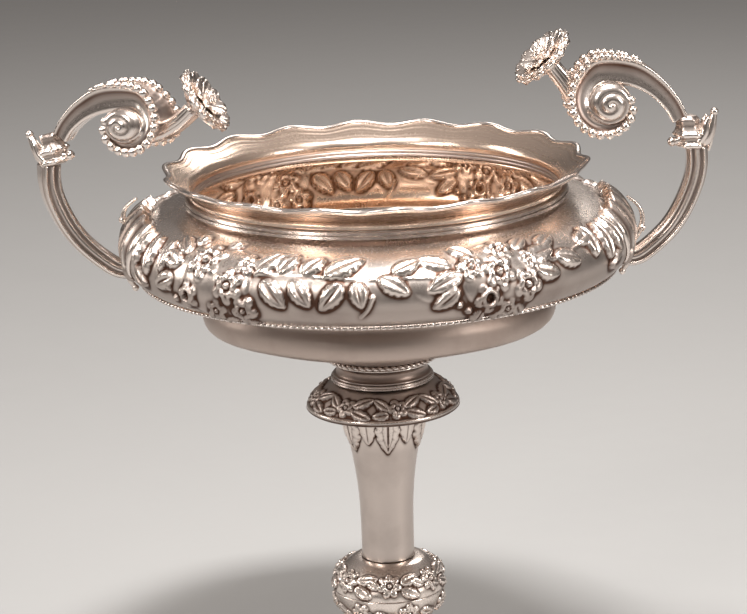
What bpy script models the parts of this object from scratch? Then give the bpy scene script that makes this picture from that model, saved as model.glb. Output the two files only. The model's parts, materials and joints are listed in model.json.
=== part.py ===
"""A silver two-handled pedestal cup: a chased cushion bowl on a trumpet stem, knop and spreading foot.

Every sub-part is its own object. Drawing sizes below are in millimetres and are scaled to metres when
a mesh is made. The origin is the centre of the foot's base, +Z is up, and the handles lie along X.
"""

import math

import bmesh
import bpy
from mathutils import Vector

MM = 0.001
GAP = 0.3  # clearance left between two pieces that touch on the real cup

# Heights above the table
RIM_Z = 274.7
CREASE_Z = 264.4
BAND_BASE_Z = 261.6
NECK_BASE_Z = 257.8
BODY_BASE_Z = 225.0
PAN_TOP_Z = 223.0
PAN_BASE_Z = 181.6
SPOOL_TOP_Z = 178.6
FLANGE_TOP_Z = 170.9
DRIP_TOP_Z = 168.3
STEM_TOP_Z = 166.7
KNOP_TOP_Z = 78.6
KNOP_SEAM_Z = 63.4
FOOT_NECK_TOP_Z = 46.5
DOME_TOP_Z = 39.7
BORDER_TOP_Z = 11.0
BASE_WIRE_TOP_Z = 3.2

# Radii
LIP_R = 99.4
NECK_R = 88.0
BOWL_R = 118.6
EDGE_R = 113.0  # where the bowl's side turns under and meets its edge wire
PAN_WALL_R = 82.6
SPOOL_R = 21.8
DRIP_R = 36.8
STEM_NECK_R = 12.7
KNOP_R = 27.2
FOOT_R = 68.0
ROD_R = 3.0
ROD_HOLE_R = 4.0
NUT_CORNER_R = 6.4

SHEET = 1.6  # wall of the raised sheet pieces
THIN_SHEET = 1.3
SCALLOPS = 18
SCALLOP_OUT = 1.4
SCALLOP_UP = 0.8
SCALLOP_TURN_DEG = 15  # from +X to the first scallop's crest

# Facets around the axis
WIDE_STEPS = 36
RIM_STEPS = 4 * SCALLOPS
NARROW_STEPS = 20
ROD_STEPS = 12

# Handles. Distances run outwards from the cup's axis, heights from the rim's plane.
ELBOW_R = 150.6
VOLUTE_INWARD = 37.6  # from the elbow to the centre of the volute
VOLUTE_START_R = 15.6
VOLUTE_END_R = 2.6
VOLUTE_START_DEG = 100
VOLUTE_END_DEG = 500
# The handles are bent by hand, so the two differ a little
REACH = {"left": 0.0, "right": -2.0}
LIFT = {"left": 2.0, "right": 0.0}
UPPER_TWIST_DEG = {"left": 28, "right": 3}
VOLUTE_UP = {"left": 23.0, "right": 25.0}
VOLUTE_SPREAD = {"left": 8.6, "right": 1.2}
VOLUTE_SQUASH = {"left": 0.86, "right": 1.0}
CAP_TILT_DEG = {"left": -8, "right": 0}
CAP_TWIST_DEG = {"left": 30, "right": 0}
CAP_MIDDLE_UP = 8.0
ARM_FOOT_UP = 15.2
ARM_RISE = 25.4  # from the arm's foot to the top of the volute's middle line, before bending
# The arm before bending: inwards from the elbow, up from its foot, half thickness, half width
ARM = [(5.6, 0.0, 3.8, 4.4), (9.4, 7.8, 4.2, 4.6), (16.8, 16.6, 5.0, 5.0), (27.0, 23.2, 6.2, 5.8)]
LOWER_HALF_THICK = 4.5
LOWER_HALF_WIDE = 5.4
FLOWER_R = 17.2
FLOWER_DEPTH = 8.0
PETALS = 10
FLOWER_STEM_R = 3.4
PLATE_THICK = 3.0
PLATE_HALF_DEG = 14

SIDES = {"left": -1, "right": 1}

SILVER = ((0.80, 0.77, 0.74, 1), 0.16, 1.0)
WARM_SILVER = ((0.82, 0.68, 0.55, 1), 0.18, 1.0)
BRASS = ((0.72, 0.55, 0.28, 1), 0.35, 1.0)
STEEL = ((0.50, 0.50, 0.51, 1), 0.38, 1.0)


def clear_scene():
    for obj in list(bpy.data.objects):
        bpy.data.objects.remove(obj, do_unlink=True)


def material(name, finish):
    found = bpy.data.materials.get(name)
    if found:
        return found
    colour, roughness, metallic = finish
    made = bpy.data.materials.new(name)
    made.use_nodes = True
    shader = made.node_tree.nodes["Principled BSDF"]
    shader.inputs["Base Color"].default_value = colour
    shader.inputs["Roughness"].default_value = roughness
    shader.inputs["Metallic"].default_value = metallic
    return made


def add_object(name, bm, finish, parent=None):
    """Puts the finished bmesh, drawn in millimetres, into the scene as one named object in metres."""
    bmesh.ops.scale(bm, vec=(MM, MM, MM), verts=bm.verts)
    bmesh.ops.recalc_face_normals(bm, faces=bm.faces)
    mesh = bpy.data.meshes.new(name)
    bm.to_mesh(mesh)
    bm.free()
    mesh.shade_smooth()
    mesh.set_sharp_from_angle(angle=math.radians(35))
    mesh.materials.append(material(name, finish))
    obj = bpy.data.objects.new(name, mesh)
    bpy.context.scene.collection.objects.link(obj)
    obj.parent = parent
    return obj


def turned(name, profile, finish, steps, parent, shape=None):
    """Spins a closed (radius, height) outline round the axis. shape may then move each point."""
    bm = bmesh.new()
    verts = [bm.verts.new((r, 0, z)) for r, z in profile]
    edges = [bm.edges.new((a, b)) for a, b in zip(verts, verts[1:] + verts[:1])]
    bmesh.ops.spin(
        bm, geom=verts + edges, cent=(0, 0, 0), axis=(0, 0, 1), angle=math.tau, steps=steps, use_merge=True
    )
    bmesh.ops.remove_doubles(bm, verts=bm.verts, dist=1e-4)
    if shape:
        for vert in bm.verts:
            vert.co = shape(vert.co)
    return add_object(name, bm, finish, parent)


def sheet_outline(outer, thick):
    """Closes an outer wall line, listed top to bottom, with the same line set inwards by the sheet's wall."""
    inner = []
    for i, (r, z) in enumerate(outer):
        r0, z0 = outer[max(i - 1, 0)]
        r1, z1 = outer[min(i + 1, len(outer) - 1)]
        along = Vector((r1 - r0, z1 - z0)).normalized()
        inner.append((max(r + along.y * thick, 0.0), z - along.x * thick))
    inner[0] = (inner[0][0], outer[0][1])
    inner[-1] = (inner[-1][0], outer[-1][1])
    return outer + inner[::-1]


def rounded_ring(inner_r, outer_r, low, high):
    """A ring with a flat bore and a rounded outer face."""
    mid, half = (low + high) / 2, (high - low) / 2
    nose = [(outer_r - half * 0.6, high), (outer_r, mid), (outer_r - half * 0.6, low)]
    return [(inner_r, high)] + nose + [(inner_r, low)]


def smooth_path(points, per_span):
    """A Catmull-Rom curve through the points, of any number of coordinates each."""
    ends = [points[0]] + list(points) + [points[-1]]
    path = []
    for i in range(len(points) - 1):
        a, b, c, d = ends[i : i + 4]
        for k in range(per_span):
            t = k / per_span
            path.append(
                tuple(
                    0.5 * (2 * q + (r - p) * t + (2 * p - 5 * q + 4 * r - s) * t * t + (3 * q - p - 3 * r + s) * t**3)
                    for p, q, r, s in zip(a, b, c, d)
                )
            )
    path.append(tuple(points[-1]))
    return path


def sweep(name, rings, finish, parent):
    """Skins a list of rings, each a list of points, and closes both ends."""
    bm = bmesh.new()
    loops = [[bm.verts.new(p) for p in ring] for ring in rings]
    count = len(loops[0])
    for first, second in zip(loops, loops[1:]):
        for k in range(count):
            n = (k + 1) % count
            bm.faces.new((first[k], first[n], second[n], second[k]))
    bm.faces.new(loops[0][::-1])
    bm.faces.new(loops[-1])
    return add_object(name, bm, finish, parent)


# ---------------------------------------------------------------- bowl


def lip_weight(z):
    """How far the rim's scallops reach down the flared band: all at the lip, none at the neck's crease."""
    return max(0.0, min(1.0, (z - CREASE_Z) / (RIM_Z - 2.0 - CREASE_Z)))


def scalloped(co):
    weight = lip_weight(co.z)
    turn = math.atan2(co.y, co.x) - math.radians(SCALLOP_TURN_DEG)
    wave = math.cos(SCALLOPS * turn) * weight
    radius = math.hypot(co.x, co.y)
    grown = (radius + SCALLOP_OUT * wave) / radius
    return Vector((co.x * grown, co.y * grown, co.z + SCALLOP_UP * wave))


def bowl_outer():
    """The cushion bowl's outer line: neck joint, full shoulder, and a side that turns under to the lower edge."""
    return [
        (NECK_R, NECK_BASE_Z),
        (89.6, 256.6),
        (95.0, 255.6),
        (101.0, 254.4),
        (107.0, 252.2),
        (112.6, 248.8),
        (116.8, 243.8),
        (BOWL_R, 238.0),
        (118.4, 232.6),
        (116.6, 228.0),
        (EDGE_R, BODY_BASE_Z),
    ]


def build_bowl(parent):
    lip_z = RIM_Z - 2.0 - SCALLOP_UP
    band = [(LIP_R, lip_z), (95.3, 269.8), (90.6, 266.7), (NECK_R, CREASE_Z), (NECK_R, BAND_BASE_Z)]
    turned("rim_band", sheet_outline(band, SHEET), WARM_SILVER, RIM_STEPS, parent, scalloped)
    wire_r = LIP_R - SHEET / 2
    wire_z = lip_z + GAP + 0.9
    wire = [(wire_r + 1.3, wire_z), (wire_r, wire_z - 0.8), (wire_r - 1.1, wire_z), (wire_r, wire_z + 0.9)]
    turned("rim_wire", wire, SILVER, RIM_STEPS, parent, scalloped)

    middle = (BAND_BASE_Z + NECK_BASE_Z) / 2
    reeds = (("neck_moulding_upper", middle + GAP / 2, BAND_BASE_Z - GAP, NECK_R + 2.0),)
    reeds += (("neck_moulding_lower", NECK_BASE_Z + GAP, middle - GAP / 2, NECK_R + 2.6),)
    for name, low, high, reed_r in reeds:
        turned(name, rounded_ring(NECK_R - SHEET, reed_r, low, high), SILVER, WIDE_STEPS, parent)

    turned("bowl_shell", sheet_outline(bowl_outer(), SHEET), SILVER, WIDE_STEPS, parent)
    edge = rounded_ring(EDGE_R - 3.6, EDGE_R + 0.6, PAN_TOP_Z + GAP, BODY_BASE_Z - GAP)
    turned("edge_wire", edge, SILVER, WIDE_STEPS, parent)
    pan = [
        (EDGE_R - 1.4, PAN_TOP_Z),
        (105.0, 221.0),
        (95.0, 218.7),
        (PAN_WALL_R + 1.9, 216.5),
        (PAN_WALL_R, 214.0),
        (PAN_WALL_R + 1.2, 208.5),
        (PAN_WALL_R + 0.8, 202.6),
        (PAN_WALL_R - 1.4, 199.8),
        (74.0, 197.2),
        (60.0, 193.2),
        (47.0, 189.2),
        (34.0, 184.8),
        (28.0, PAN_BASE_Z + 0.5),
        (0.0, PAN_BASE_Z),
    ]
    turned("bowl_pan", sheet_outline(pan, THIN_SHEET), SILVER, WIDE_STEPS, parent)


# ---------------------------------------------------------------- pedestal


def build_collar(parent):
    rope_low = SPOOL_TOP_Z + GAP
    turned("rope_ring", rounded_ring(19.0, 27.2, rope_low, PAN_BASE_Z - GAP), SILVER, NARROW_STEPS, parent)
    spool = [(24.6, SPOOL_TOP_Z), (22.4, 176.6), (SPOOL_R, 174.2), (23.6, FLANGE_TOP_Z + GAP)]
    spool += [(19.6, FLANGE_TOP_Z + GAP), (19.6, SPOOL_TOP_Z)]
    turned("spool_collar", spool, SILVER, NARROW_STEPS, parent)
    flange = rounded_ring(15.0, 24.6, DRIP_TOP_Z + GAP, FLANGE_TOP_Z)
    turned("flange_ring", flange, SILVER, NARROW_STEPS, parent)
    drip = [(ROD_HOLE_R + 2, DRIP_TOP_Z), (22.0, DRIP_TOP_Z), (28.0, 165.4), (33.2, 160.6), (DRIP_R, 155.6)]
    drip += [(DRIP_R - 1.6, 155.0), (31.6, 159.6), (26.6, 163.8), (21.0, 167.0), (ROD_HOLE_R + 2, 167.0)]
    turned("drip_pan", drip, SILVER, NARROW_STEPS, parent)


def stem_outer():
    """The trumpet stem's outer line below its shoulder, top to bottom."""
    return [
        (21.0, 162.6),
        (19.7, 151.7),
        (17.6, 141.0),
        (15.9, 131.5),
        (14.3, 121.2),
        (13.3, 111.0),
        (STEM_NECK_R, 100.0),
        (STEM_NECK_R, KNOP_TOP_Z + GAP),
    ]


def build_stem(parent):
    outer = stem_outer()
    inner = [(r - THIN_SHEET, z) for r, z in outer[::2] + outer[-1:]]
    outline = [(ROD_HOLE_R + 1, STEM_TOP_Z), (16.0, STEM_TOP_Z)] + outer
    outline += inner[::-1] + [(15.0, STEM_TOP_Z - THIN_SHEET), (ROD_HOLE_R + 1, STEM_TOP_Z - THIN_SHEET)]
    turned("stem", outline, SILVER, NARROW_STEPS, parent)


def build_knop(parent):
    upper = [(STEM_NECK_R, KNOP_TOP_Z), (18.6, 77.2), (23.6, 73.0), (26.6, 67.6), (KNOP_R, KNOP_SEAM_Z + GAP)]
    turned("knop_upper", sheet_outline(upper, THIN_SHEET), SILVER, NARROW_STEPS, parent)
    lower = [(KNOP_R, KNOP_SEAM_Z), (26.2, 58.0), (22.8, 52.0), (17.4, 48.2), (12.6, FOOT_NECK_TOP_Z + GAP)]
    turned("knop_lower", sheet_outline(lower, THIN_SHEET), SILVER, NARROW_STEPS, parent)


def build_foot(parent):
    neck = [(13.4, FOOT_NECK_TOP_Z), (11.4, 44.6), (11.2, 42.8), (14.4, DOME_TOP_Z + GAP)]
    neck += [(ROD_HOLE_R + 1, DOME_TOP_Z + GAP), (ROD_HOLE_R + 1, FOOT_NECK_TOP_Z)]
    turned("foot_neck", neck, SILVER, NARROW_STEPS, parent)
    dome = [
        (ROD_HOLE_R + 1, DOME_TOP_Z),
        (15.4, DOME_TOP_Z),
        (19.0, 35.4),
        (27.0, 31.0),
        (38.0, 27.0),
        (47.0, 21.6),
        (52.0, 15.0),
        (54.0, BORDER_TOP_Z),
    ]
    turned("foot_dome", sheet_outline(dome, SHEET), SILVER, WIDE_STEPS, parent)
    border_low = BASE_WIRE_TOP_Z + GAP
    border = [(52.6, BORDER_TOP_Z - GAP), (56.0, BORDER_TOP_Z - GAP), (60.6, 8.4), (64.6, 5.6), (66.4, border_low)]
    border += [(64.2, border_low), (59.6, 6.6), (55.0, 8.6), (52.6, 8.8)]
    turned("foot_border", border, SILVER, WIDE_STEPS, parent)
    half = BASE_WIRE_TOP_Z / 2
    base = [(FOOT_R - 4.4, BASE_WIRE_TOP_Z), (FOOT_R - 1.2, BASE_WIRE_TOP_Z), (FOOT_R, half), (FOOT_R - 0.6, 0.0)]
    base += [(FOOT_R - 4.4, 0.0)]
    turned("foot_rim_wire", base, SILVER, WIDE_STEPS, parent)


def hexagonal(co):
    """Pulls every second outer point of a twelve-sided ring in to the flat of a hexagon."""
    radius = math.hypot(co.x, co.y)
    between_corners = abs(math.sin(3 * math.atan2(co.y, co.x))) > 0.5
    if radius > NUT_CORNER_R - 0.1 and between_corners:
        shrink = math.cos(math.pi / 6)
        return Vector((co.x * shrink, co.y * shrink, co.z))
    return co


def build_fixings(parent):
    """The rod that pulls foot, knop, stem and collar up against the bowl, with what it bears on."""
    rod_top = PAN_BASE_Z - 2 * GAP
    boss = [(ROD_R + GAP, rod_top), (9.0, rod_top), (9.0, 175.6), (7.4, 174.4), (ROD_R + GAP, 174.4)]
    turned("bowl_boss", boss, BRASS, NARROW_STEPS, parent)
    rod = [(0.0, rod_top - 0.6), (ROD_R, rod_top - 0.6), (ROD_R, 15.0), (0.0, 15.0)]
    turned("tie_rod", rod, STEEL, ROD_STEPS, parent)
    bush = [(ROD_R + GAP, 90.0), (10.6, 90.0), (10.6, 82.0), (ROD_R + GAP, 82.0)]
    turned("stem_bush", bush, BRASS, ROD_STEPS, parent)
    sleeve = [(6.2, 78.0), (8.0, 78.0), (8.0, FOOT_NECK_TOP_Z + GAP), (6.2, FOOT_NECK_TOP_Z + GAP)]
    turned("knop_sleeve", sleeve, BRASS, ROD_STEPS, parent)
    plate_top = 26.2
    plate = [(ROD_R + GAP, plate_top), (34.0, 24.4), (34.0, 22.4), (ROD_R + GAP, 23.4)]
    turned("clamp_plate", plate, BRASS, NARROW_STEPS, parent)
    washer = [(ROD_R + GAP, 23.1), (8.0, 21.8), (8.0, 20.6), (ROD_R + GAP, 20.6)]
    turned("washer", washer, STEEL, ROD_STEPS, parent)
    nut = [(ROD_R + GAP, 20.3), (NUT_CORNER_R, 20.3), (NUT_CORNER_R, 15.8), (ROD_R + GAP, 15.8)]
    turned("clamp_nut", nut, STEEL, ROD_STEPS, parent, hexagonal)


# ---------------------------------------------------------------- handles


class Handle:
    """Places handle drawings in the cup's frame: outward distance, sideways offset, height over the rim."""

    def __init__(self, side):
        self.side = side
        self.sign = SIDES[side]
        self.reach = REACH[side]
        self.lift = LIFT[side]
        self.twist = math.radians(UPPER_TWIST_DEG[side])

    def lower(self, outward, across, up, bend=1.0):
        return Vector((self.sign * (outward + self.reach * bend), across, RIM_Z + up + self.lift))

    def cap(self, outward, across, up):
        """A point of the elbow cap, tilted and twisted about its middle."""
        tilt = math.radians(CAP_TILT_DEG[self.side])
        twist = math.radians(CAP_TWIST_DEG[self.side])
        rise = up - CAP_MIDDLE_UP
        turned_out = outward * math.cos(tilt) - rise * math.sin(tilt)
        turned_up = outward * math.sin(tilt) + rise * math.cos(tilt)
        x = turned_out * math.cos(twist) - across * math.sin(twist)
        y = across * math.cos(twist) + turned_out * math.sin(twist)
        return self.lower(ELBOW_R + x, y, CAP_MIDDLE_UP + turned_up)

    def upper(self, inward, across, up):
        """As lower, but measured inwards from the elbow in the upper scroll's own twisted plane."""
        cos, sin = math.cos(self.twist), math.sin(self.twist)
        x = self.sign * (ELBOW_R + self.reach) - self.sign * (inward * cos + across * sin)
        y = across * cos - inward * sin
        return Vector((x, y, RIM_Z + up + self.lift))


def path_frames(path):
    """The unit direction and left-hand normal at each point of a path drawn in a plane."""
    frames = []
    for i in range(len(path)):
        a, b = path[max(i - 1, 0)], path[min(i + 1, len(path) - 1)]
        along = Vector((b[0] - a[0], b[1] - a[1])).normalized()
        frames.append((along, Vector((-along.y, along.x))))
    return frames


def build_lower_scroll(handle, parent):
    points = [(126.2, -47.8, 0.0), (137.8, -38.0, 0.4), (145.4, -28.0, 0.8), (151.0, -15.8, 1.0)]
    points += [(152.9, -6.6, 1.0), (152.7, -0.9, 1.0)]
    path = smooth_path(points, 4)
    rings = []
    for (outward, up, bend), (_, normal) in zip(path, path_frames(path)):
        ring = []
        for k in range(8):
            angle = math.tau * (k + 0.5) / 8
            off = LOWER_HALF_THICK * math.cos(angle)
            wide = LOWER_HALF_WIDE * math.sin(angle)
            ring.append(handle.lower(outward + normal.x * off, wide, up + normal.y * off, bend))
        rings.append(ring)
    sweep(f"{handle.side}_lower_scroll", rings, SILVER, parent)


def build_elbow_cap(handle, parent):
    """A leaf-wrapped collar drawn as an outline: bud on the inner side, thumb spike on the outer."""
    outline = [
        (-3.3, 1.4), (-5.6, 2.4), (-8.9, 1.9), (-10.8, 4.3), (-8.9, 6.7), (-5.6, 6.9), (-7.0, 10.4),
        (-1.4, 15.6), (1.6, 14.4), (7.0, 15.8), (10.6, 18.4), (10.6, 15.4), (9.2, 9.6), (8.6, 3.4), (7.2, 1.4),
    ]
    half = 5.0
    rings = []
    for across, grow in ((-half, 0.86), (-half * 0.7, 1.0), (half * 0.7, 1.0), (half, 0.86)):
        ring = []
        for outward, up in outline:
            ring.append(handle.cap(outward * grow, across, CAP_MIDDLE_UP + (up - CAP_MIDDLE_UP) * grow))
        rings.append(ring)
    sweep(f"{handle.side}_elbow_cap", rings, SILVER, parent)


def upper_scroll_path(side):
    """(inward, up, half thickness, half width) along the strap, from the elbow into the volute's eye."""
    centre = VOLUTE_INWARD + VOLUTE_SPREAD[side]
    stretch = centre / VOLUTE_INWARD
    squash = VOLUTE_SQUASH[side]
    height = VOLUTE_UP[side]
    rise = (height + squash * VOLUTE_START_R - ARM_FOOT_UP) / ARM_RISE
    arm = []
    for inward, up, thick, wide in ARM:
        arm.append((inward * stretch, ARM_FOOT_UP + up * rise, thick, wide))
    volute = []
    turns = 12
    for k in range(turns + 1):
        share = k / turns
        angle = math.radians(VOLUTE_START_DEG + (VOLUTE_END_DEG - VOLUTE_START_DEG) * share)
        radius = VOLUTE_START_R + (VOLUTE_END_R - VOLUTE_START_R) * share
        thick = 6.8 - 5.4 * share**0.6
        wide = 6.8 + 6.8 * math.sin(math.pi / 2 * min(share * 4.0, 1.0)) - 6.0 * max(share - 0.3, 0.0)
        inward = centre - radius * math.cos(angle)
        volute.append((inward, height + squash * radius * math.sin(angle), squash * thick, wide))
    return smooth_path(arm + volute, 2)


def build_upper_scroll(handle, parent):
    """A broad strap with a wide outer face and a narrow rib along its inner edge."""
    path = upper_scroll_path(handle.side)
    section = [(1.0, -0.9), (0.85, 0.0), (1.0, 0.9), (0.8, 1.0), (-0.3, 0.55), (-1.0, 0.35), (-1.0, -0.35)]
    section += [(-0.3, -0.55), (0.8, -1.0)]
    rings = []
    for (inward, up, thick, wide), (_, normal) in zip(path, path_frames(path)):
        ring = []
        for out, across in section:
            ring.append(handle.upper(inward + normal.x * thick * out, wide * across, up + normal.y * thick * out))
        rings.append(ring)
    sweep(f"{handle.side}_upper_scroll", rings, SILVER, parent)


# (inward, up) points from the strap's channel to the back of the flower, and the way the flower faces:
# its tilt up from the horizontal, and its turn towards the front
STEM_ROUTE = {
    "left": [(68.2, 21.6), (72.0, 23.6), (75.6, 26.4), (78.4, 30.4)],
    "right": [(60.4, 28.4), (62.6, 33.0), (66.0, 38.2), (67.8, 43.0)],
}
FLOWER_TILT_DEG = {"left": 36, "right": 47}
FLOWER_TURN_DEG = {"left": -20, "right": 12}


def build_flower(handle, parent):
    route = STEM_ROUTE[handle.side]
    path = smooth_path(route, 3)
    rings = []
    for (inward, up), (_, normal) in zip(path, path_frames(path)):
        ring = []
        for k in range(8):
            angle = math.tau * k / 8
            off = FLOWER_STEM_R * math.cos(angle)
            ring.append(handle.upper(inward + normal.x * off, FLOWER_STEM_R * math.sin(angle), up + normal.y * off))
        rings.append(ring)
    sweep(f"{handle.side}_flower_stem", rings, SILVER, parent)

    tilt = math.radians(FLOWER_TILT_DEG[handle.side])
    turn = math.radians(FLOWER_TURN_DEG[handle.side])
    facing = Vector((math.cos(tilt) * math.cos(turn), -math.sin(turn), math.sin(tilt) * math.cos(turn)))
    rising = Vector((-math.sin(tilt), 0.0, math.cos(tilt)))
    sideways = rising.cross(facing)
    back = Vector((route[-1][0], 0.0, route[-1][1])) + facing * (GAP + FLOWER_STEM_R * abs(math.sin(turn)) + 0.4)

    def place(radius, angle, height):
        spot = back + rising * (radius * math.cos(angle)) + sideways * (radius * math.sin(angle)) + facing * height
        return handle.upper(spot.x, spot.y, spot.z)

    dish = [(0.24, 0.0), (0.62, 0.26), (0.97, 0.82), (1.0, 1.0), (0.86, 0.96), (0.45, 0.6)]
    steps = 4 * PETALS
    bm = bmesh.new()
    loops = []
    for share, depth in dish:
        loop = []
        for k in range(steps):
            angle = math.tau * k / steps
            petal = 1 - 0.11 * share * (1 - math.cos(PETALS * angle)) / 2
            loop.append(bm.verts.new(place(FLOWER_R * share * petal, angle, depth * FLOWER_DEPTH)))
        loops.append(loop)
    for first, second in zip(loops, loops[1:]):
        for k in range(steps):
            n = (k + 1) % steps
            bm.faces.new((first[k], first[n], second[n], second[k]))
    for loop, depth in ((loops[0], dish[0][1]), (loops[-1], dish[-1][1])):
        hub = bm.verts.new(place(0, 0, depth * FLOWER_DEPTH))
        for k in range(steps):
            bm.faces.new((loop[k], loop[(k + 1) % steps], hub))
    add_object(f"{handle.side}_flower", bm, SILVER, parent)

    eye_base = dish[-1][1] * FLOWER_DEPTH + GAP
    eye = [(4.4, 0.0), (4.8, 1.4), (3.4, 3.0), (1.2, 3.6)]
    rings = [[place(r, math.tau * k / 10, eye_base + h) for k in range(10)] for r, h in eye]
    sweep(f"{handle.side}_flower_eye", rings, SILVER, parent)


def build_mount_plate(handle, parent):
    """A leaf-shaped plate that hugs the bowl's side and carries the root of the lower scroll."""
    lines = bowl_outer()[4:10]
    frames = path_frames(lines)
    steps_across = 6
    half_angle = math.radians(PLATE_HALF_DEG)
    bm = bmesh.new()
    layers = []
    for lift in (GAP + 0.5, GAP + 0.5 + PLATE_THICK):
        rows = []
        for i, ((r, z), (_, normal)) in enumerate(zip(lines, frames)):
            share = i / (len(lines) - 1)
            width = half_angle * (0.35 + 0.65 * math.sin(math.pi * (0.12 + 0.76 * share)))
            row = []
            for k in range(steps_across + 1):
                angle = width * (2 * k / steps_across - 1)
                radius = r + normal.x * lift
                height = z + normal.y * lift
                x = handle.sign * radius * math.cos(angle)
                row.append(bm.verts.new((x, radius * math.sin(angle), height)))
            rows.append(row)
        layers.append(rows)
    inner, outer = layers
    last_row, last_col = len(lines) - 1, steps_across
    for i in range(last_row):
        for k in range(last_col):
            for rows in layers:
                bm.faces.new((rows[i][k], rows[i][k + 1], rows[i + 1][k + 1], rows[i + 1][k]))
        for k in (0, last_col):
            bm.faces.new((inner[i][k], inner[i + 1][k], outer[i + 1][k], outer[i][k]))
    for k in range(last_col):
        for i in (0, last_row):
            bm.faces.new((inner[i][k], inner[i][k + 1], outer[i][k + 1], outer[i][k]))
    add_object(f"{handle.side}_mount_plate", bm, SILVER, parent)


def main():
    clear_scene()
    cup = bpy.data.objects.new("cup", None)
    bpy.context.scene.collection.objects.link(cup)
    build_bowl(cup)
    build_collar(cup)
    build_stem(cup)
    build_knop(cup)
    build_foot(cup)
    build_fixings(cup)
    for side in SIDES:
        handle = Handle(side)
        build_mount_plate(handle, cup)
        build_lower_scroll(handle, cup)
        build_elbow_cap(handle, cup)
        build_upper_scroll(handle, cup)
        build_flower(handle, cup)


main()
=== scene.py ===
import json
import math
import random

import bmesh
import bpy
import numpy as np
from mathutils import Matrix, Vector


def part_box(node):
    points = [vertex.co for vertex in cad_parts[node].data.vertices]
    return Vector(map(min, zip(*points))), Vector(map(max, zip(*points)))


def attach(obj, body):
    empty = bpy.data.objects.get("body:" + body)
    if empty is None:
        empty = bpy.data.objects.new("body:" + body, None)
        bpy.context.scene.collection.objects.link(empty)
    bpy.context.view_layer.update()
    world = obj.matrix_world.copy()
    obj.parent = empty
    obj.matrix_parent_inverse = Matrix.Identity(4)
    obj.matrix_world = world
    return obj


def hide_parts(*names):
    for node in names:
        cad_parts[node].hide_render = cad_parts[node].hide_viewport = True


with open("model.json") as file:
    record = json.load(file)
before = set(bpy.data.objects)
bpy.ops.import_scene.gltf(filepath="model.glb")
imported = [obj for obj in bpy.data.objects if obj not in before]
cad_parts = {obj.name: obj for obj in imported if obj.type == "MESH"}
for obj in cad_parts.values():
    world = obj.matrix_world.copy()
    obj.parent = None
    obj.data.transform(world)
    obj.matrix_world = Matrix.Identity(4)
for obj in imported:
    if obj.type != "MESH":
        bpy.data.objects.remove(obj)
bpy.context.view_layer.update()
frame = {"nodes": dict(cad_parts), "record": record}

# Drawing sizes are in millimetres. Azimuths run from the front (-Y), positive towards +X.
MM = 0.001


def corners(node):
    """Lowest and highest corners of a CAD node, in millimetres."""
    return [np.array(corner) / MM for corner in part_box(node)]


def top(node):
    return float(corners(node)[1][2])


def base(node):
    return float(corners(node)[0][2])


def reach(node):
    """Largest radius of a turned node."""
    return float(corners(node)[1][0])


# Camera: distance from the rim's centre in metres, and elevation over the rim's plane in degrees
CAMERA_DISTANCE = 1.3146
CAMERA_ELEVATION = 12.0
CAMERA_PITCH = 15.0
CAMERA_YAW = 0.136
CAMERA_ROLL = -2.0
CAMERA_LENS = 134.94
RIM_Z = 274.7

# Meshes: spacing of the points down an outline
FINE = 0.5
MEDIUM = 0.4
PLAIN = 1.2
INSIDE = 0.8
CLOSED_INSIDE = 1.5
REED_POINTS = 9  # across a half-round face

# Rim and neck
SCALLOPS = 18
SCALLOP_OUT = 1.4
SCALLOP_UP = 0.8
SCALLOP_CREST_DEG = 5
NECK_R = 88.0
CREASE_Z = 264.4
LIP_START_Z = RIM_Z - 2.0
SHEET = 1.6
THIN_SHEET = 1.3
DRIP_PAN_SHEET = 1.2

# Bowl
BOWL_R = reach("bowl_shell")
BODY_BASE_Z = base("bowl_shell")
NECK_BASE_Z = top("bowl_shell")
PAN_TOP_Z = top("bowl_pan")
PAN_BASE_Z = base("bowl_pan")
EDGE_R = 113.0
EDGE_TICKS = 240
BACK_MIDDLE_DEG = 173.8  # azimuth behind the front garland's own middle
BACK_SCALE = 0.85
PAN_WALL_R = 82.6
PAN_WALL_Z = 205.0
PAN_LOBES = 6
PAN_CREASE_DEG = -36
PAN_LOBE_OUT = 1.1

# Pedestal
ROPE_STRANDS = 52
DRIP_PAN_FLOWERS = 8
STEM_LEAVES = 6
STEM_LEAF_DEG = 5
KNOP_FLOWERS = 7
FOOT_FLOWERS = 6
BORDER_LEAVES = 36

# Relief: a point is as dark as it lies deep below its surroundings, as patina and painted shade in its
# hollows
CAVITY_PASSES = 12
CAVITY_DEPTH = 0.36

# Handles: outwards from the axis, upwards from the rim's plane
ELBOW_R = 150.6
REACH = {"left": 0.0, "right": -2.0}
LIFT = {"left": 2.0, "right": 0.0}
UPPER_TWIST_DEG = {"left": 28, "right": 3}
CAP_TILT_DEG = {"left": -15, "right": 0}
CAP_TWIST_DEG = {"left": 30, "right": 0}
CAP_MIDDLE_UP = 8.0
SIDES = {"left": -1, "right": 1}

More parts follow.
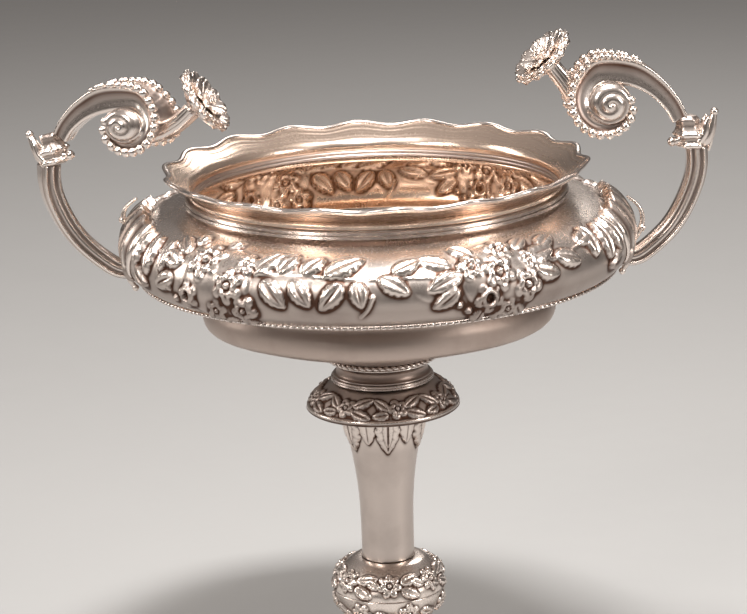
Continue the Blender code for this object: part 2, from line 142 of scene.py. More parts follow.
# Upper scroll: the arm's rows give inward distance, height, half thickness and half width
ARM_FOOT_UP = 15.2
ARM_RISE = 25.4
ARM = [(5.6, 0.0, 3.8, 4.4), (9.4, 7.8, 4.2, 4.6), (16.8, 16.6, 5.0, 5.0), (27.0, 23.2, 6.2, 5.8)]
VOLUTE_INWARD = 37.6
VOLUTE_START_R = 15.6
VOLUTE_END_R = 2.6
VOLUTE_START_DEG = 100
VOLUTE_END_DEG = 500
VOLUTE_STEPS = 16
VOLUTE_UP = {"left": 24.2, "right": 25.0}
VOLUTE_SPREAD = {"left": 8.8, "right": 2.0}
VOLUTE_SQUASH = {"left": 0.80, "right": 0.97}
STRAP_THICK = 6.8
STRAP_THINNING = 5.4
STRAP_WIDE = 6.6
STRAP_WIDENING = 7.0
STRAP_NARROWING = 6.0
BEADS_START = 0.24  # share of the strap's outer edge before its first bead
BEADS_END = 0.74  # share of the strap's rings at its last bead
BEAD_R = 1.1  # of the first bead; later ones grow to twice this
BEAD_GROWTH = 26.0  # distance over which they grow
BEAD_PITCH = 1.88  # in radii
COIL_R = 10.4
COIL_PITCH = 4.6
COIL_RISE = 3.6
COIL_WIDE = 10.2
COIL_SINK = 4.0  # of the coil's edge into the strap

# Handle flowers: the stem's points are inward distance and height
STEM_ROUTE = {
    "left": [(56.0, 20.6), (63.0, 22.2), (71.0, 26.2), (78.8, 32.6)],
    "right": [(54.0, 27.6), (57.6, 32.6), (61.6, 37.8), (65.4, 42.6)],
}
FLOWER_TILT_DEG = {"left": 36, "right": 47}
FLOWER_TURN_DEG = {"left": -13, "right": 11}
FLOWER_R = 16.4
FLOWER_STEM_R = 4.1
PETAL_THICK = 1.9
PETAL_ROWS = [  # number, first bearing, start, length, width, rise, curl, height over the calyx's base
    (12, 0.0, 4.0, FLOWER_R - 4.2, 9.4, 4.6, 0.50, 3.0),
    (11, 0.28, 3.6, 11.0, 7.8, 4.4, 0.45, 4.6),
    (9, 0.1, 3.0, 7.0, 6.0, 3.8, 0.3, 6.4),
]
EYE_R = 3.4
EYE_UP = 8.8

# Mount plates: radius and height in the cup's own frame
PLATE_INNER_R = 106.0
PLATE_HALF_DEG = 17.0
CURLS = {
    "left": [(114.6, 243.6), (118.6, 248.4), (119.2, 253.2), (116.8, 257.2), (112.4, 260.4)],
    "right": [(118.4, 230.0), (123.2, 235.6), (125.2, 242.0), (123.4, 248.4), (118.0, 253.4)],
}
DROP = [(118.6, 231.0), (119.0, 226.0), (117.6, 221.0), (115.4, 217.0)]

# Setting: each light's name, place and size in metres, power in watts and colour
FLOOR_HALF = 4.0
FLOOR_CELLS = 24
LIGHT_TARGET = (0, 0, 0.22)
WARM_WHITE = (1.0, 0.95, 0.90)
LIGHTS = [
    ("overhead", (0.05, -0.45, 1.75), (0.7, 0.5), 5, (1.0, 0.97, 0.94)),
    ("front_centre", (0.12, -0.36, 1.45), (0.34, 0.20), 34, (1.0, 0.98, 0.96)),
    ("front_left", (-1.1, -1.2, 1.2), (0.35, 0.6), 13, WARM_WHITE),
    ("right_side", (1.5, -0.8, 0.9), (0.3, 0.9), 14, WARM_WHITE),
    ("left_side", (-1.6, 0.3, 0.9), (0.3, 0.9), 10, WARM_WHITE),
    ("back", (0.3, 1.5, 1.3), (0.8, 0.4), 9, WARM_WHITE),
]
# Room: share of the way from straight down to straight up, and the colour there
HORIZON = (0.42, (0.018, 0.015, 0.013, 1))
CEILING = (0.95, (0.55, 0.50, 0.47, 1))


# ---------------- lines and meshes


def smooth_path(points, per_span):
    """A Catmull-Rom curve through points of any number of coordinates."""
    ends = np.array([points[0]] + list(points) + [points[-1]], float)
    t = np.arange(per_span)[:, None] / per_span
    path = []
    for p, q, r, s in zip(ends, ends[1:], ends[2:], ends[3:]):
        square = 2 * p - 5 * q + 4 * r - s
        cube = 3 * q - p - 3 * r + s
        path.extend(0.5 * (2 * q + (r - p) * t + square * t**2 + cube * t**3))
    path.append(ends[-1])
    return np.array(path)


def arc_length(path):
    return np.concatenate([[0.0], np.cumsum(np.linalg.norm(np.diff(path, axis=0), axis=1))])


def evenly(path, spacing):
    """The same line with points at an even spacing."""
    arc = arc_length(path)
    wanted = np.linspace(0, arc[-1], max(int(round(arc[-1] / spacing)), 1) + 1)
    return np.stack([np.interp(wanted, arc, path[:, k]) for k in range(path.shape[1])], axis=1)


def outline(points, spacing):
    """An evenly spaced curve through (radius, height) points. A point given twice is a sharp corner."""
    runs, run = [], [points[0]]
    for previous, point in zip(points, points[1:]):
        if tuple(point) == tuple(previous):
            runs.append(run)
            run = [point]
        else:
            run.append(point)
    runs.append(run)
    lines = [evenly(smooth_path(run, 8), spacing) for run in runs if len(run) > 1]
    return np.concatenate([lines[0]] + [line[1:] for line in lines[1:]])


def left_normals(path):
    """Unit vectors to the left of the direction of travel at each point of a flat path."""
    along = np.gradient(path, axis=0)
    along /= np.linalg.norm(along, axis=1)[:, None] + 1e-12
    return np.stack([-along[:, 1], along[:, 0]], axis=1)


def full_turn(steps):
    """Evenly spaced angles from nought to just short of a full turn."""
    return np.arange(steps) * math.tau / steps


def grid_faces(rows, columns, close_rows=True):
    """Quads of a grid whose columns wrap round, and whose rows do too if asked."""
    index = np.arange(rows * columns).reshape(rows, columns)
    first, second = (index, np.roll(index, -1, 0)) if close_rows else (index[:-1], index[1:])
    quads = (first, np.roll(first, -1, 1), np.roll(second, -1, 1), second)
    return np.stack(quads, axis=-1).reshape(-1, 4)


class Solid:
    """Collects shells, in millimetres, that end up as one mesh object."""

    def __init__(self):
        self.points = []
        self.faces = []
        self.patina_and_shade = []
        self.count = 0

    def add(self, points, faces, patina_and_shade=0.0):
        points = np.asarray(points, float).reshape(-1, 3)
        if self.volume(points, faces) < 0:
            faces = [face[::-1] for face in faces]
        self.points.append(points)
        self.faces.extend(tuple(int(i) + self.count for i in face) for face in faces)
        self.patina_and_shade.append(np.broadcast_to(np.ravel(patina_and_shade), (len(points),)))
        self.count += len(points)

    @staticmethod
    def volume(points, faces):
        """Six times the enclosed volume, negative when the faces are inside out."""
        total = 0.0
        by_size = {}
        for face in faces:
            by_size.setdefault(len(face), []).append(face)
        for size, group in by_size.items():
            group = np.array(group)
            for k in range(1, size - 1):
                a, b, c = points[group[:, 0]], points[group[:, k]], points[group[:, k + 1]]
                total += float(np.einsum("ij,ij->i", a, np.cross(b, c)).sum())
        return total

    def make(self, name, slot, node, finish=None, weld=False):
        """The finished piece, which stands for one CAD node; its finish is the slot's own unless given."""
        mesh = bpy.data.meshes.new(name)
        points = np.concatenate(self.points) * MM
        mesh.from_pydata(points.tolist(), [], self.faces)
        # this attribute darkens the colour: patina and painted shade in recesses, and painted shade set
        # piece by piece
        shade = mesh.attributes.new("patina_and_shade", "FLOAT", "POINT")
        shade.data.foreach_set("value", np.concatenate(self.patina_and_shade).astype(np.float32))
        if weld:
            bm = bmesh.new()
            bm.from_mesh(mesh)
            bmesh.ops.remove_doubles(bm, verts=bm.verts, dist=1e-6)
            bmesh.ops.dissolve_degenerate(bm, edges=bm.edges, dist=1e-7)
            bm.to_mesh(mesh)
            bm.free()
        mesh.shade_smooth()
        mesh.materials.append(finish or FINISH[slot])
        obj = bpy.data.objects.new(name, mesh)
        bpy.context.scene.collection.objects.link(obj)
        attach(obj, "root")
        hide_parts(node)
        return obj


def around(radius, height, azimuths):
    """Points of a turned surface whose radius and height may differ at each azimuth."""
    x = radius * np.sin(azimuths)
    y = -radius * np.cos(azimuths)
    return np.stack([x, y, height + 0 * x], axis=-1)


def turned(solid, section, steps, move=None, patina_and_shade=0.0):
    """Spins a closed section of (radius, height) points. move(radius, height, azimuth) may reshape it."""
    azimuths = full_turn(steps)
    radius = section[:, :1] + 0 * azimuths
    height = section[:, 1:] + 0 * azimuths
    if move:
        radius, height = move(radius, height, azimuths)
    shade = patina_and_shade(section, azimuths) if callable(patina_and_shade) else patina_and_shade
    solid.add(around(radius, height, azimuths), grid_faces(len(section), steps), shade)


def turned_ring(name, node, section, steps, move=None, patina_and_shade=0.0):
    """A plain polished piece that is one turned section."""
    solid = Solid()
    turned(solid, section, steps, move, patina_and_shade)
    solid.make(name, "polished_silver", node)


def sheet_section(outer, thick, spacing):
    """Closes an outer line with its own offset, coarser inside; also outward normals and outer rows."""
    normals = left_normals(outer)
    if normals[len(outer) // 2][0] < 0:
        normals = -normals
    inner = outer - normals * thick
    inner[:, 0] = np.maximum(inner[:, 0], 0.0)
    stride = max(int(round(spacing / np.linalg.norm(outer[1] - outer[0]))), 1)
    keep = np.unique(np.concatenate([np.arange(0, len(outer), stride), [len(outer) - 1]]))[::-1]
    rows = np.concatenate([np.arange(len(outer)), keep])
    return np.concatenate([outer, inner[keep]]), normals[rows], rows


# ---------------- relief


def soften(field, passes):
    """Blurs a height map that wraps round in azimuth."""
    for _ in range(passes):
        field = (np.roll(field, 1, 1) + 2 * field + np.roll(field, -1, 1)) / 4
        padded = np.concatenate([field[:1], field, field[-1:]])
        field = (padded[:-2] + 2 * field + padded[2:]) / 4
    return field


class Relief:
    """Chasing on a turned surface: heights for each point down the outline and each azimuth."""

    def __init__(self, line, columns):
        self.line = line
        self.radius = line[:, 0]
        self.arc = arc_length(line)
        self.end = float(self.arc[-1])
        self.azimuth = full_turn(columns)
        self.height = np.zeros((len(line), columns))

    def window(self, azimuth, arc, size):
        """The rows and columns near a spot, with distances from it to the right and down."""
        rows = np.nonzero(np.abs(self.arc - arc) <= size)[0]
        radius = self.radius[rows][:, None]
        turn = (self.azimuth - math.radians(azimuth) + math.pi) % math.tau - math.pi
        columns = np.nonzero(np.abs(turn) * radius.max(initial=0.0) <= size)[0]
        right = turn[columns][None, :] * radius
        down = (self.arc[rows] - arc)[:, None] + 0 * right
        return np.ix_(rows, columns), right, down

    def lift(self, patch, height):
        self.height[patch] = np.maximum(self.height[patch], height)

    def cavities(self):
        """How far each point lies below its surroundings, from 0 to 1."""
        return np.clip((soften(self.height, CAVITY_PASSES) - self.height) / CAVITY_DEPTH, 0, 1)

    def bump(self, azimuth, arc, size, height):
        patch, right, down = self.window(azimuth, arc, size)
        share = np.clip(np.hypot(right, down) / size, 0, 1)
        self.lift(patch, height * np.sqrt(1 - share**2))

    def stem(self, spots, width, height):
        """A rounded cord of relief through (azimuth, arc) spots, tapering to its end."""
        path = smooth_path(spots, 24)
        for k, (azimuth, arc) in enumerate(path):
            taper = 1 - 0.55 * k / len(path)
            self.bump(azimuth, arc, width * taper, height * taper)

    def blossom(self, azimuth, arc, size, petals, height, spin=0.0, cupped=False):
        """A flower of broad overlapping petals round a button, or round a hollow heart when cupped."""
        patch, right, down = self.window(azimuth, arc, size * 1.1)
        for share, rise, turn in ((1.0, 0.74, 0.0), (0.64, 1.0, math.pi / petals)):
            breadth = 2.15 / petals * share
            for k in range(petals):
                bearing = spin + turn + math.tau * k / petals
                x = (right * math.cos(bearing) + down * math.sin(bearing)) / size - 0.55 * share
                y = (-right * math.sin(bearing) + down * math.cos(bearing)) / size
                oval = (x / (0.46 * share)) ** 2 + (y / breadth) ** 2
                crease = 0.10 * np.exp(-((y / 0.04) ** 2))
                slope = 0.80 + 0.42 * x / share + 0.16 * y / breadth - crease
                self.lift(patch, height * rise * np.sqrt(np.clip(1 - oval**1.6, 0, 1)) * slope)
        distance = np.hypot(right, down) / size
        if cupped:
            ring = np.exp(-(((distance - 0.40) / 0.14) ** 2))
            hollow = np.where(distance < 0.3, 0.25 + 0.5 * distance, 1.0)
            self.height[patch] *= np.where(distance < 0.42, hollow, 1.0)
            self.lift(patch, height * 1.05 * ring)
        else:
            button = np.clip(distance / 0.22, 0, 1)
            trench = np.clip((distance - 0.22) / 0.10, 0.4, 1)
            self.height[patch] *= np.where(distance < 0.33, trench, 1.0)
            self.lift(patch, height * np.sqrt(1 - button**2))

    def rose(self, azimuth, arc, size, height, spin):
        """A half-open rose: overlapping cups that spiral to a tight heart."""
        patch, right, down = self.window(azimuth, arc, size)
        distance = np.clip(np.hypot(right, down) / size, 0, 1)
        bearing = np.arctan2(down, right) + spin
        whorl = (distance * 2.3 + bearing / math.tau) % 1.0
        cup = np.sqrt(1 - distance**3) * (0.6 + 0.4 * whorl**1.4)
        self.lift(patch, height * cup * (distance < 1))

    def leaf(self, azimuth, arc, heading, length, width, height, curl=0.0, lobes=5):
        """A pointed, lobed leaf growing from a spot; heading 0 is to the right and 90 is down."""
        patch, right, down = self.window(azimuth, arc, length * 1.2)
        turn = math.radians(heading)
        share = np.clip((right * math.cos(turn) + down * math.sin(turn)) / length, 0, 1)
        inside = (share > 0) & (share < 1)
        across = -right * math.sin(turn) + down * math.cos(turn) - curl * length * share**2
        lobe = np.abs(np.sin(math.pi * lobes * share)) ** 0.6
        half = width / 2 * 2.43 * share**0.55 * (1 - share) ** 0.75 * (0.84 + 0.16 * lobe) + 1e-3
        side = np.abs(across) / half
        swell = 0.78 + 0.22 * np.sin(math.pi * np.clip(side, 0, 1)) + 0.10 * np.tanh(across / 0.8)
        comb = (0.5 + 0.5 * np.cos(math.tau * (lobes * share - 0.8 * side))) ** 3
        veins = 0.10 * comb * np.clip(side * 2, 0, 1)
        midrib = 0.17 * np.exp(-((across / 0.5) ** 2))
        body = np.sqrt(np.clip(1 - side**5, 0, 1)) * (swell - veins - midrib)
        rise = height * (0.55 + 0.45 * np.sin(math.pi * (0.1 + 0.75 * share)))
        self.lift(patch, np.where(inside & (side < 1), rise * body, 0))

    def spray(self, azimuth, arc, leaves):
        """Leaves of four lobes round a spot; each row starts with its azimuth and arc from there."""
        for turn, down, *leaf in leaves:
            self.leaf(azimuth + turn, arc + down, *leaf, lobes=4)


def chased(name, slot, node, relief, thick, spacing=CLOSED_INSIDE, move=None, shade=0.0, **look):
    """Turns a sheet piece whose relief shows in reverse inside; its recesses darken as patina and painted
    shade, and shade adds painted shade, evenly or row by row.
    """
    section, normals, rows = sheet_section(relief.line, thick, spacing)
    lift = relief.height[rows]
    outside = np.arange(len(section)) < len(relief.line)
    shade = np.broadcast_to(shade, (len(relief.line),))[rows] * outside
    cavity = np.clip(relief.cavities()[rows] + shade[:, None], 0, 1)
    radius = section[:, :1] + normals[:, :1] * lift
    height = section[:, 1:] + normals[:, 1:] * lift
    if move:
        radius, height = move(radius, height, relief.azimuth)
    solid = Solid()
    points = around(radius, height, relief.azimuth)
    solid.add(points, grid_faces(len(section), len(relief.azimuth)), cavity)
    return solid.make(name, slot, node, **look)


# ---------------- materials


def add_node(tree, kind, settings=(), **values):
    """A shader node with its settings and the values of its inputs, such as To_Min for To Min."""
    node = tree.nodes.new("ShaderNode" + kind)
    for name, value in settings:
        setattr(node, name, value)
    for name, value in values.items():
        node.inputs[name.replace("_", " ")].default_value = value
    return node


def join(tree, source, output, target, socket):
    tree.links.new(source.outputs[output], target.inputs[socket])


def new_material(name):
    mat = bpy.data.materials.new(name)
    mat.use_nodes = True
    return mat, mat.node_tree, mat.node_tree.nodes["Principled BSDF"]


def metal(name, bright, dark, roughness, waves=0.25):
    """A polished metal darkened by a point attribute that carries patina and painted shade in recesses, and
    painted shade set piece by piece; faint scratches and hand-worked waviness.
    """
    mat, tree, shader = new_material(name)
    shader.inputs["Metallic"].default_value = 1.0
    place = add_node(tree, "TexCoord")
    cloud = add_node(tree, "TexNoise", Scale=38.0, Detail=5.0)
    grain = add_node(tree, "TexNoise", Scale=900.0, Detail=3.0)
    wave = add_node(tree, "TexNoise", Scale=120.0, Detail=2.0)
    for noise in (cloud, grain, wave):
        join(tree, place, "Object", noise, "Vector")

    patchy = add_node(tree, "MapRange", From_Min=0.5, From_Max=0.8, To_Max=0.175)
    cavity = add_node(tree, "Attribute", [("attribute_name", "patina_and_shade")])
    total = add_node(tree, "Math", [("operation", "ADD"), ("use_clamp", True)])
    colour = add_node(tree, "Mix", [("data_type", "RGBA")], A=(*bright, 1), B=(*dark, 1))
    join(tree, cloud, "Fac", patchy, "Value")
    join(tree, cavity, "Fac", total, 0)
    join(tree, patchy, "Result", total, 1)
    join(tree, total, "Value", colour, "Factor")
    join(tree, colour, "Result", shader, "Base Color")

    rough = add_node(tree, "MapRange", To_Min=roughness * 0.8, To_Max=roughness * 1.25)
    dulled = add_node(tree, "Math", [("operation", "MULTIPLY_ADD")])
    dulled.inputs[1].default_value = 0.28
    join(tree, grain, "Fac", rough, "Value")
    join(tree, total, "Value", dulled, 0)
    join(tree, rough, "Result", dulled, 2)
    join(tree, dulled, "Value", shader, "Roughness")

    worked = add_node(tree, "Bump", Strength=waves, Distance=0.0004)
    scratch = add_node(tree, "Bump", Strength=0.05, Distance=0.00005)
    join(tree, wave, "Fac", worked, "Height")
    join(tree, grain, "Fac", scratch, "Height")
    join(tree, worked, "Normal", scratch, "Normal")
    join(tree, scratch, "Normal", shader, "Normal")
    return mat


def pale_floor():
    mat, tree, shader = new_material("pale_floor")
    shader.inputs["Base Color"].default_value = (0.31, 0.307, 0.303, 1)
    grain = add_node(tree, "TexNoise", Scale=220.0)
    rough = add_node(tree, "MapRange", To_Min=0.55, To_Max=0.7)
    join(tree, grain, "Fac", rough, "Value")
    join(tree, rough, "Result", shader, "Roughness")
    return mat


FINISH = {
    "polished_silver": metal("silver_polished", (0.82, 0.74, 0.69), (0.18, 0.11, 0.08), 0.20),
    "chased_silver": metal("silver_chased", (0.85, 0.76, 0.70), (0.09, 0.048, 0.034), 0.25),
    "handle_silver": metal("silver_cast", (0.88, 0.79, 0.73), (0.10, 0.052, 0.036), 0.21, waves=0.15),
    "warm_silver": metal("silver_warm", (0.86, 0.69, 0.57), (0.32, 0.19, 0.12), 0.22),
    "fixing_brass": metal("brass_turned", (0.72, 0.55, 0.28), (0.22, 0.14, 0.05), 0.32, waves=0.1),
    "fixing_steel": metal("steel_turned", (0.50, 0.50, 0.51), (0.12, 0.10, 0.09), 0.36, waves=0.1),
}
# a satin silver whose darker base colour is painted shade for the pan under the bowl
SHADED_SATIN = metal("silver_satin_shaded", (0.76, 0.66, 0.60), (0.18, 0.11, 0.08), 0.30)
WARM_INSIDE_REFLECTION = metal("silver_warm_inside", (0.88, 0.68, 0.53), (0.20, 0.10, 0.055), 0.25)


# ---------------- bowl


def scallop(radius, height, azimuths):
    """Waves the flared band: fully at the lip and not at all at the neck's crease."""
    weight = np.clip((height - CREASE_Z) / (LIP_START_Z - CREASE_Z), 0, 1)
    wave = np.cos(SCALLOPS * (azimuths - math.radians(SCALLOP_CREST_DEG))) * weight
    return radius + SCALLOP_OUT * wave, height + SCALLOP_UP * wave


def build_rim():
    node = "rim_band"
    lip_r = reach(node) - SCALLOP_OUT
    lip_z = top(node) - SCALLOP_UP
    line = [
        (lip_r, lip_z), (97.2, 270.7), (93.2, 268.2), (90.0, 266.2), (NECK_R + 0.2, CREASE_Z),
        (NECK_R, CREASE_Z - 1.0), (NECK_R, base(node)),
    ]
    relief = Relief(outline(line, 0.8), columns=720)
    # spinning lines left by the burnisher
    relief.height += 0.07 * np.sin(relief.arc * 2.6)[:, None] + 0.04 * np.sin(relief.arc * 6.1)[:, None]
    chased("rim_band_flared", "warm_silver", node, relief, SHEET, 1.0, scallop)

    angles = full_turn(10)
    wire_r = lip_r - SHEET / 2 + 1.35 * np.cos(angles)
    wire_z = lip_z + 1.0 + 1.0 * np.sin(angles)
    turned_ring("rim_wire_scalloped", "rim_wire", np.stack([wire_r, wire_z], axis=1), 1080, scallop)


def reed(node, inner_r, beads):
    """A ring whose outer face is a stack of fine half-round reeds."""
    low, high, outer_r = base(node), top(node), reach(node)
    face = []
    width = (high - low) / beads
    for k in range(beads):
        for angle in np.linspace(math.pi / 2, -math.pi / 2, REED_POINTS):
            out = outer_r - 0.45 * width + 0.45 * width * math.cos(angle)
            face.append((out, high - width * (k + 0.5) + width / 2 * math.sin(angle)))
    return np.array(face + [(inner_r, low), (inner_r, high)])


def build_neck():
    for level in ("upper", "lower"):
        node = f"neck_moulding_{level}"
        outer_r = reach(node)

        # painted shade in the grooves between the reeds
        def ring_shade(points, azimuths):
            return np.clip((outer_r - points[:, :1]) / 0.8, 0, 1) * 0.55 + 0 * azimuths

        turned_ring(f"neck_reeds_{level}", node, reed(node, NECK_R - SHEET, 3), 540, patina_and_shade=ring_shade)


def bowl_outer():
    """Neck joint, full shoulder, and a side that turns under to the lower edge."""
    return [
        (NECK_R, NECK_BASE_Z), (89.6, 256.6), (95.0, 255.6), (101.0, 254.4), (107.0, 252.2), (112.6, 248.8),
        (116.8, 243.8), (BOWL_R, 238.0), (118.4, 232.6), (116.6, 228.0), (EDGE_R, BODY_BASE_Z),
    ]


# Garland: every row starts with azimuth and distance below the neck joint. Leaves: heading (0 right,
# 90 down), length, width. Flowers: size, petals, height, hollow heart. Seeds: size. Mounds: size, height.
LEAVES = [
    (-28, 28, -52, 15, 12), (-22.5, 28, -62, 13, 10), (-17, 28, -55, 13, 10), (-12, 28, -30, 19, 12),
    (-24, 21, -20, 11, 8), (-26, 32, 42, 16, 10), (-19, 31, 55, 14, 9.5), (-8, 32, 130, 15, 9.5),
    (-5, 31, 75, 12, 9), (0, 30, 25, 15, 9), (3, 27, -20, 14, 9), (16, 26, 200, 15, 9),
    (18, 31, 165, 17, 9.5), (17, 37, 145, 14, 8), (35, 28, -10, 16, 11), (36, 33, 25, 14, 9),
    (43, 30, 15, 15, 9.5), (40, 24, -35, 14, 9), (-50, 24, 215, 15, 9), (-50, 30, 190, 15, 9.5),
    (-51, 37, 160, 14, 9), (-49, 18, 250, 12, 8), (-34, 50, 100, 9, 7), (-30, 50, 70, 8, 6),
    (26, 49, 90, 8, 7), (22, 47, 115, 9, 7), (30, 47, 60, 9, 7), (-39, 17, -70, 10, 8),
    (22, 22, 220, 12, 8), (33, 22, -40, 12, 8), (-37, 47, 130, 9, 7), (52, 27, -15, 13, 9),
]
FLOWERS = [
    (-42, 26, 10.8, 6, 4.2, False), (-45, 42.5, 6.4, 5, 4.0, True), (-34, 36, 8.2, 6, 4.4, False),
    (-30, 45.5, 6.6, 5, 3.8, False), (-31, 25, 6.4, 5, 3.2, False), (-37, 47, 5.6, 5, 3.4, False),
    (29, 21, 7.4, 5, 3.6, False), (20.5, 28, 6.8, 5, 3.6, False), (26.5, 32, 8.6, 6, 4.6, False),
    (33, 39, 8.0, 5, 4.0, False), (23.5, 42, 7.2, 5, 3.8, True), (28, 48, 5.4, 5, 3.2, False),
    (35, 29, 5.8, 5, 3.0, False),
]
SEEDS = [(19, 47, 1.6), (17, 44, 1.4), (-50, 46, 1.6), (-24, 38, 1.5), (-52, 42, 1.3)]
MOUNDS = [(-38, 34, 19, 1.9), (27, 33, 19, 1.9), (-20, 27, 12, 0.7), (12, 30, 12, 0.7)]
TWIGS = [
    [(-28, 29), (-20, 28), (-12, 29), (-4, 30)], [(20, 31), (12, 31), (5, 30), (-2, 30)],
    [(-1.5, 38), (-2.5, 43), (-4, 47)], [(34, 31), (42, 31), (50, 29), (56, 27)],
    [(-50, 29), (-57, 28), (-64, 27)],
]
# Upright leaves beside a handle's root, as the garland's leaves, with azimuths from the root
CARTOUCHE = [
    (-34, 36, -80, 17, 9), (-28, 40, -85, 20, 9.5), (-21, 42, -90, 22, 9.5), (34, 36, -100, 17, 9),
    (28, 40, -95, 20, 9.5), (21, 42, -90, 22, 9.5), (-22, 40, 160, 14, 8), (22, 40, 20, 14, 8),
    (-10, 42, 115, 10, 7), (10, 42, 65, 10, 7),
]


def garland(relief, place, mirrored, chance):
    """Two bunches of garden flowers with a spray of leaves between them; place() sets each azimuth."""
    for azimuth, arc, size, height in MOUNDS:
        relief.bump(place(azimuth), arc, size, height)
    for azimuth, arc, heading, length, width in LEAVES:
        turned_heading = 180 - heading if mirrored else heading
        relief.leaf(place(azimuth), arc, turned_heading, length, width, 2.4, chance.uniform(-0.1, 0.1))
    for azimuth, arc, size, petals, height, cupped in FLOWERS:
        relief.blossom(place(azimuth), arc, size, petals, height, chance.uniform(0, 1), cupped)
    for azimuth, arc, size in SEEDS:
        relief.bump(place(azimuth), arc, size, 2.2)
    for line in TWIGS:
        relief.stem([(place(azimuth), arc) for azimuth, arc in line], 1.1, 1.5)


def cartouche(relief, azimuth, chance):
    """Acanthus leaves that stand up either side of a handle's root, like the ribs of a shell."""
    for turn, arc, heading, length, width in CARTOUCHE:
        leaning = heading + chance.uniform(-5, 5)
        relief.leaf(azimuth + turn, arc, leaning, length, width, 3.0, chance.uniform(-0.08, 0.08))


def build_bowl():
    chance = random.Random(11)
    relief = Relief(outline(bowl_outer(), FINE), columns=1500)
    garland(relief, lambda azimuth: azimuth, False, chance)
    garland(relief, lambda azimuth: BACK_MIDDLE_DEG - BACK_SCALE * azimuth, True, chance)
    for azimuth in (90, 270):
        cartouche(relief, azimuth, chance)
    edge = np.clip((relief.end - relief.arc) / 1.5, 0, 1) * np.clip((relief.arc - 8) / 5, 0, 1)
    relief.height = soften(relief.height, 1) * edge[:, None]
    # painted shade: the bowl darkens below its bulge towards the lower edge, standing in for the dark
    # reflection underneath
    underside_shade = 0.55 * np.clip((relief.arc - 33) / 12, 0, 1)
    bowl = chased("bowl_body_chased", "chased_silver", "bowl_shell", relief, SHEET, INSIDE, shade=underside_shade)
    # the inner wall is warmer than the outside: a painted warm reflection of light bouncing between its
    # walls
    bowl.data.materials.append(WARM_INSIDE_REFLECTION)
    row = np.arange(len(bowl.data.polygons)) // len(relief.azimuth)
    bowl.data.polygons.foreach_set("material_index", (row >= len(relief.line)).astype(np.int32))


def build_edge_wire():
    """A half-round wire with fine upright ticks, with painted shade between them."""
    node = "edge_wire"
    low, high, outer_r = base(node), top(node), reach(node)
    mid, half = (low + high) / 2, (high - low) / 2
    angles = np.linspace(math.pi / 2, -math.pi / 2, REED_POINTS)
    face = [(outer_r - half + half * math.cos(a), mid + half * math.sin(a)) for a in angles]
    section = np.array(face + [(EDGE_R - 3.6, low), (EDGE_R - 3.6, high)])

    def crown(azimuths):
        return np.abs(np.sin(azimuths * EDGE_TICKS / 2)) ** 0.6

    def ticks(radius, height, azimuths):
        outer = np.clip((radius - (outer_r - half)) / half, 0, 1)
        return radius - 0.5 * outer * (1 - crown(azimuths)), height

    def tick_shade(points, azimuths):
        return 0.7 * (1 - crown(azimuths)) + 0 * points[:, :1]

    turned_ring("edge_wire_milled", node, section, 1800, ticks, tick_shade)


def build_pan():
    line = [
        (EDGE_R - 1.4, PAN_TOP_Z), (105.0, 221.0), (95.0, 218.7), (PAN_WALL_R + 1.9, 216.5),
        (PAN_WALL_R, 214.0), (PAN_WALL_R + 1.2, 208.5), (PAN_WALL_R + 0.8, 202.6), (PAN_WALL_R - 1.4, 199.8),
        (74.0, 197.2), (60.0, 193.2), (47.0, 189.2), (34.0, 184.8), (28.0, PAN_BASE_Z + 0.5),
        (14.0, PAN_BASE_Z), (0.0, PAN_BASE_Z),
    ]
    relief = Relief(outline(line, PLAIN), columns=720)
    on_wall = np.exp(-(((relief.line[:, 1] - PAN_WALL_Z) / 7.0) ** 2)) * (relief.radius > 60)
    lobe = np.abs(np.sin((relief.azimuth - math.radians(PAN_CREASE_DEG)) * PAN_LOBES / 2))
    relief.height += on_wall[:, None] * (PAN_LOBE_OUT * lobe**1.5)[None, :]
    # painted shade: the pan is darkened all over, standing in for the dark reflection under the bowl
    look = {"shade": 0.48, "finish": SHADED_SATIN, "weld": True}
    chased("bowl_pan_lobed", "polished_silver", "bowl_pan", relief, THIN_SHEET, 1.0, **look)


# ---------------- pedestal


def build_rope():
    """Twisted strands round a ring, with a flat ring inside them."""
    node = "rope_ring"
    low, high, outer = base(node), top(node), reach(node)
    steps, ring = 900, 20
    angles = full_turn(ring)
    azimuths = full_turn(steps)
    half = (high - low) / 2
    strands = np.abs(np.cos(angles[:, None] + azimuths * ROPE_STRANDS / 2))
    swell = 0.72 + 0.28 * strands**0.7
    radius = outer - half * 1.15 + half * 1.15 * swell * np.cos(angles)[:, None]
    height = (low + high) / 2 + half * swell * np.sin(angles)[:, None]
    solid = Solid()
    # painted shade between the twisted strands
    solid.add(around(radius, height, azimuths), grid_faces(ring, steps), 1.2 * (1 - strands).clip(0, 0.7))
    inner_r, outer_r = 19.2, outer - half * 1.2
    plate = [(inner_r, high - 0.3), (outer_r, high - 0.3), (outer_r, low + 0.3), (inner_r, low + 0.3)]
    turned(solid, np.array(plate), 180)
    solid.make("rope_ring_twisted", "polished_silver", node)


def build_collar():
    node = "spool_collar"
    high, low = top(node), base(node)
    line = [
        (24.6, high), (24.7, high - 0.6), (24.7, high - 0.6), (23.2, high - 1.2), (22.0, high - 2.6),
        (21.8, 174.2), (22.4, low + 1.2), (23.6, low + 0.6), (23.6, low + 0.6), (23.6, low),
    ]
    section = np.concatenate([outline(line, MEDIUM), [(19.6, low), (19.6, high)]])

    # painted shade in the collar's recessed waist; the flange ring below is evenly darkened
    def waist_shade(points, azimuths):
        return np.clip((24.2 - points[:, :1]) / 1.6, 0, 0.75) + 0 * azimuths

    turned_ring("spool_collar_turned", node, section, 240, patina_and_shade=waist_shade)
    turned_ring("flange_ring_reeded", "flange_ring", reed("flange_ring", 15.0, 2), 300, patina_and_shade=0.25)


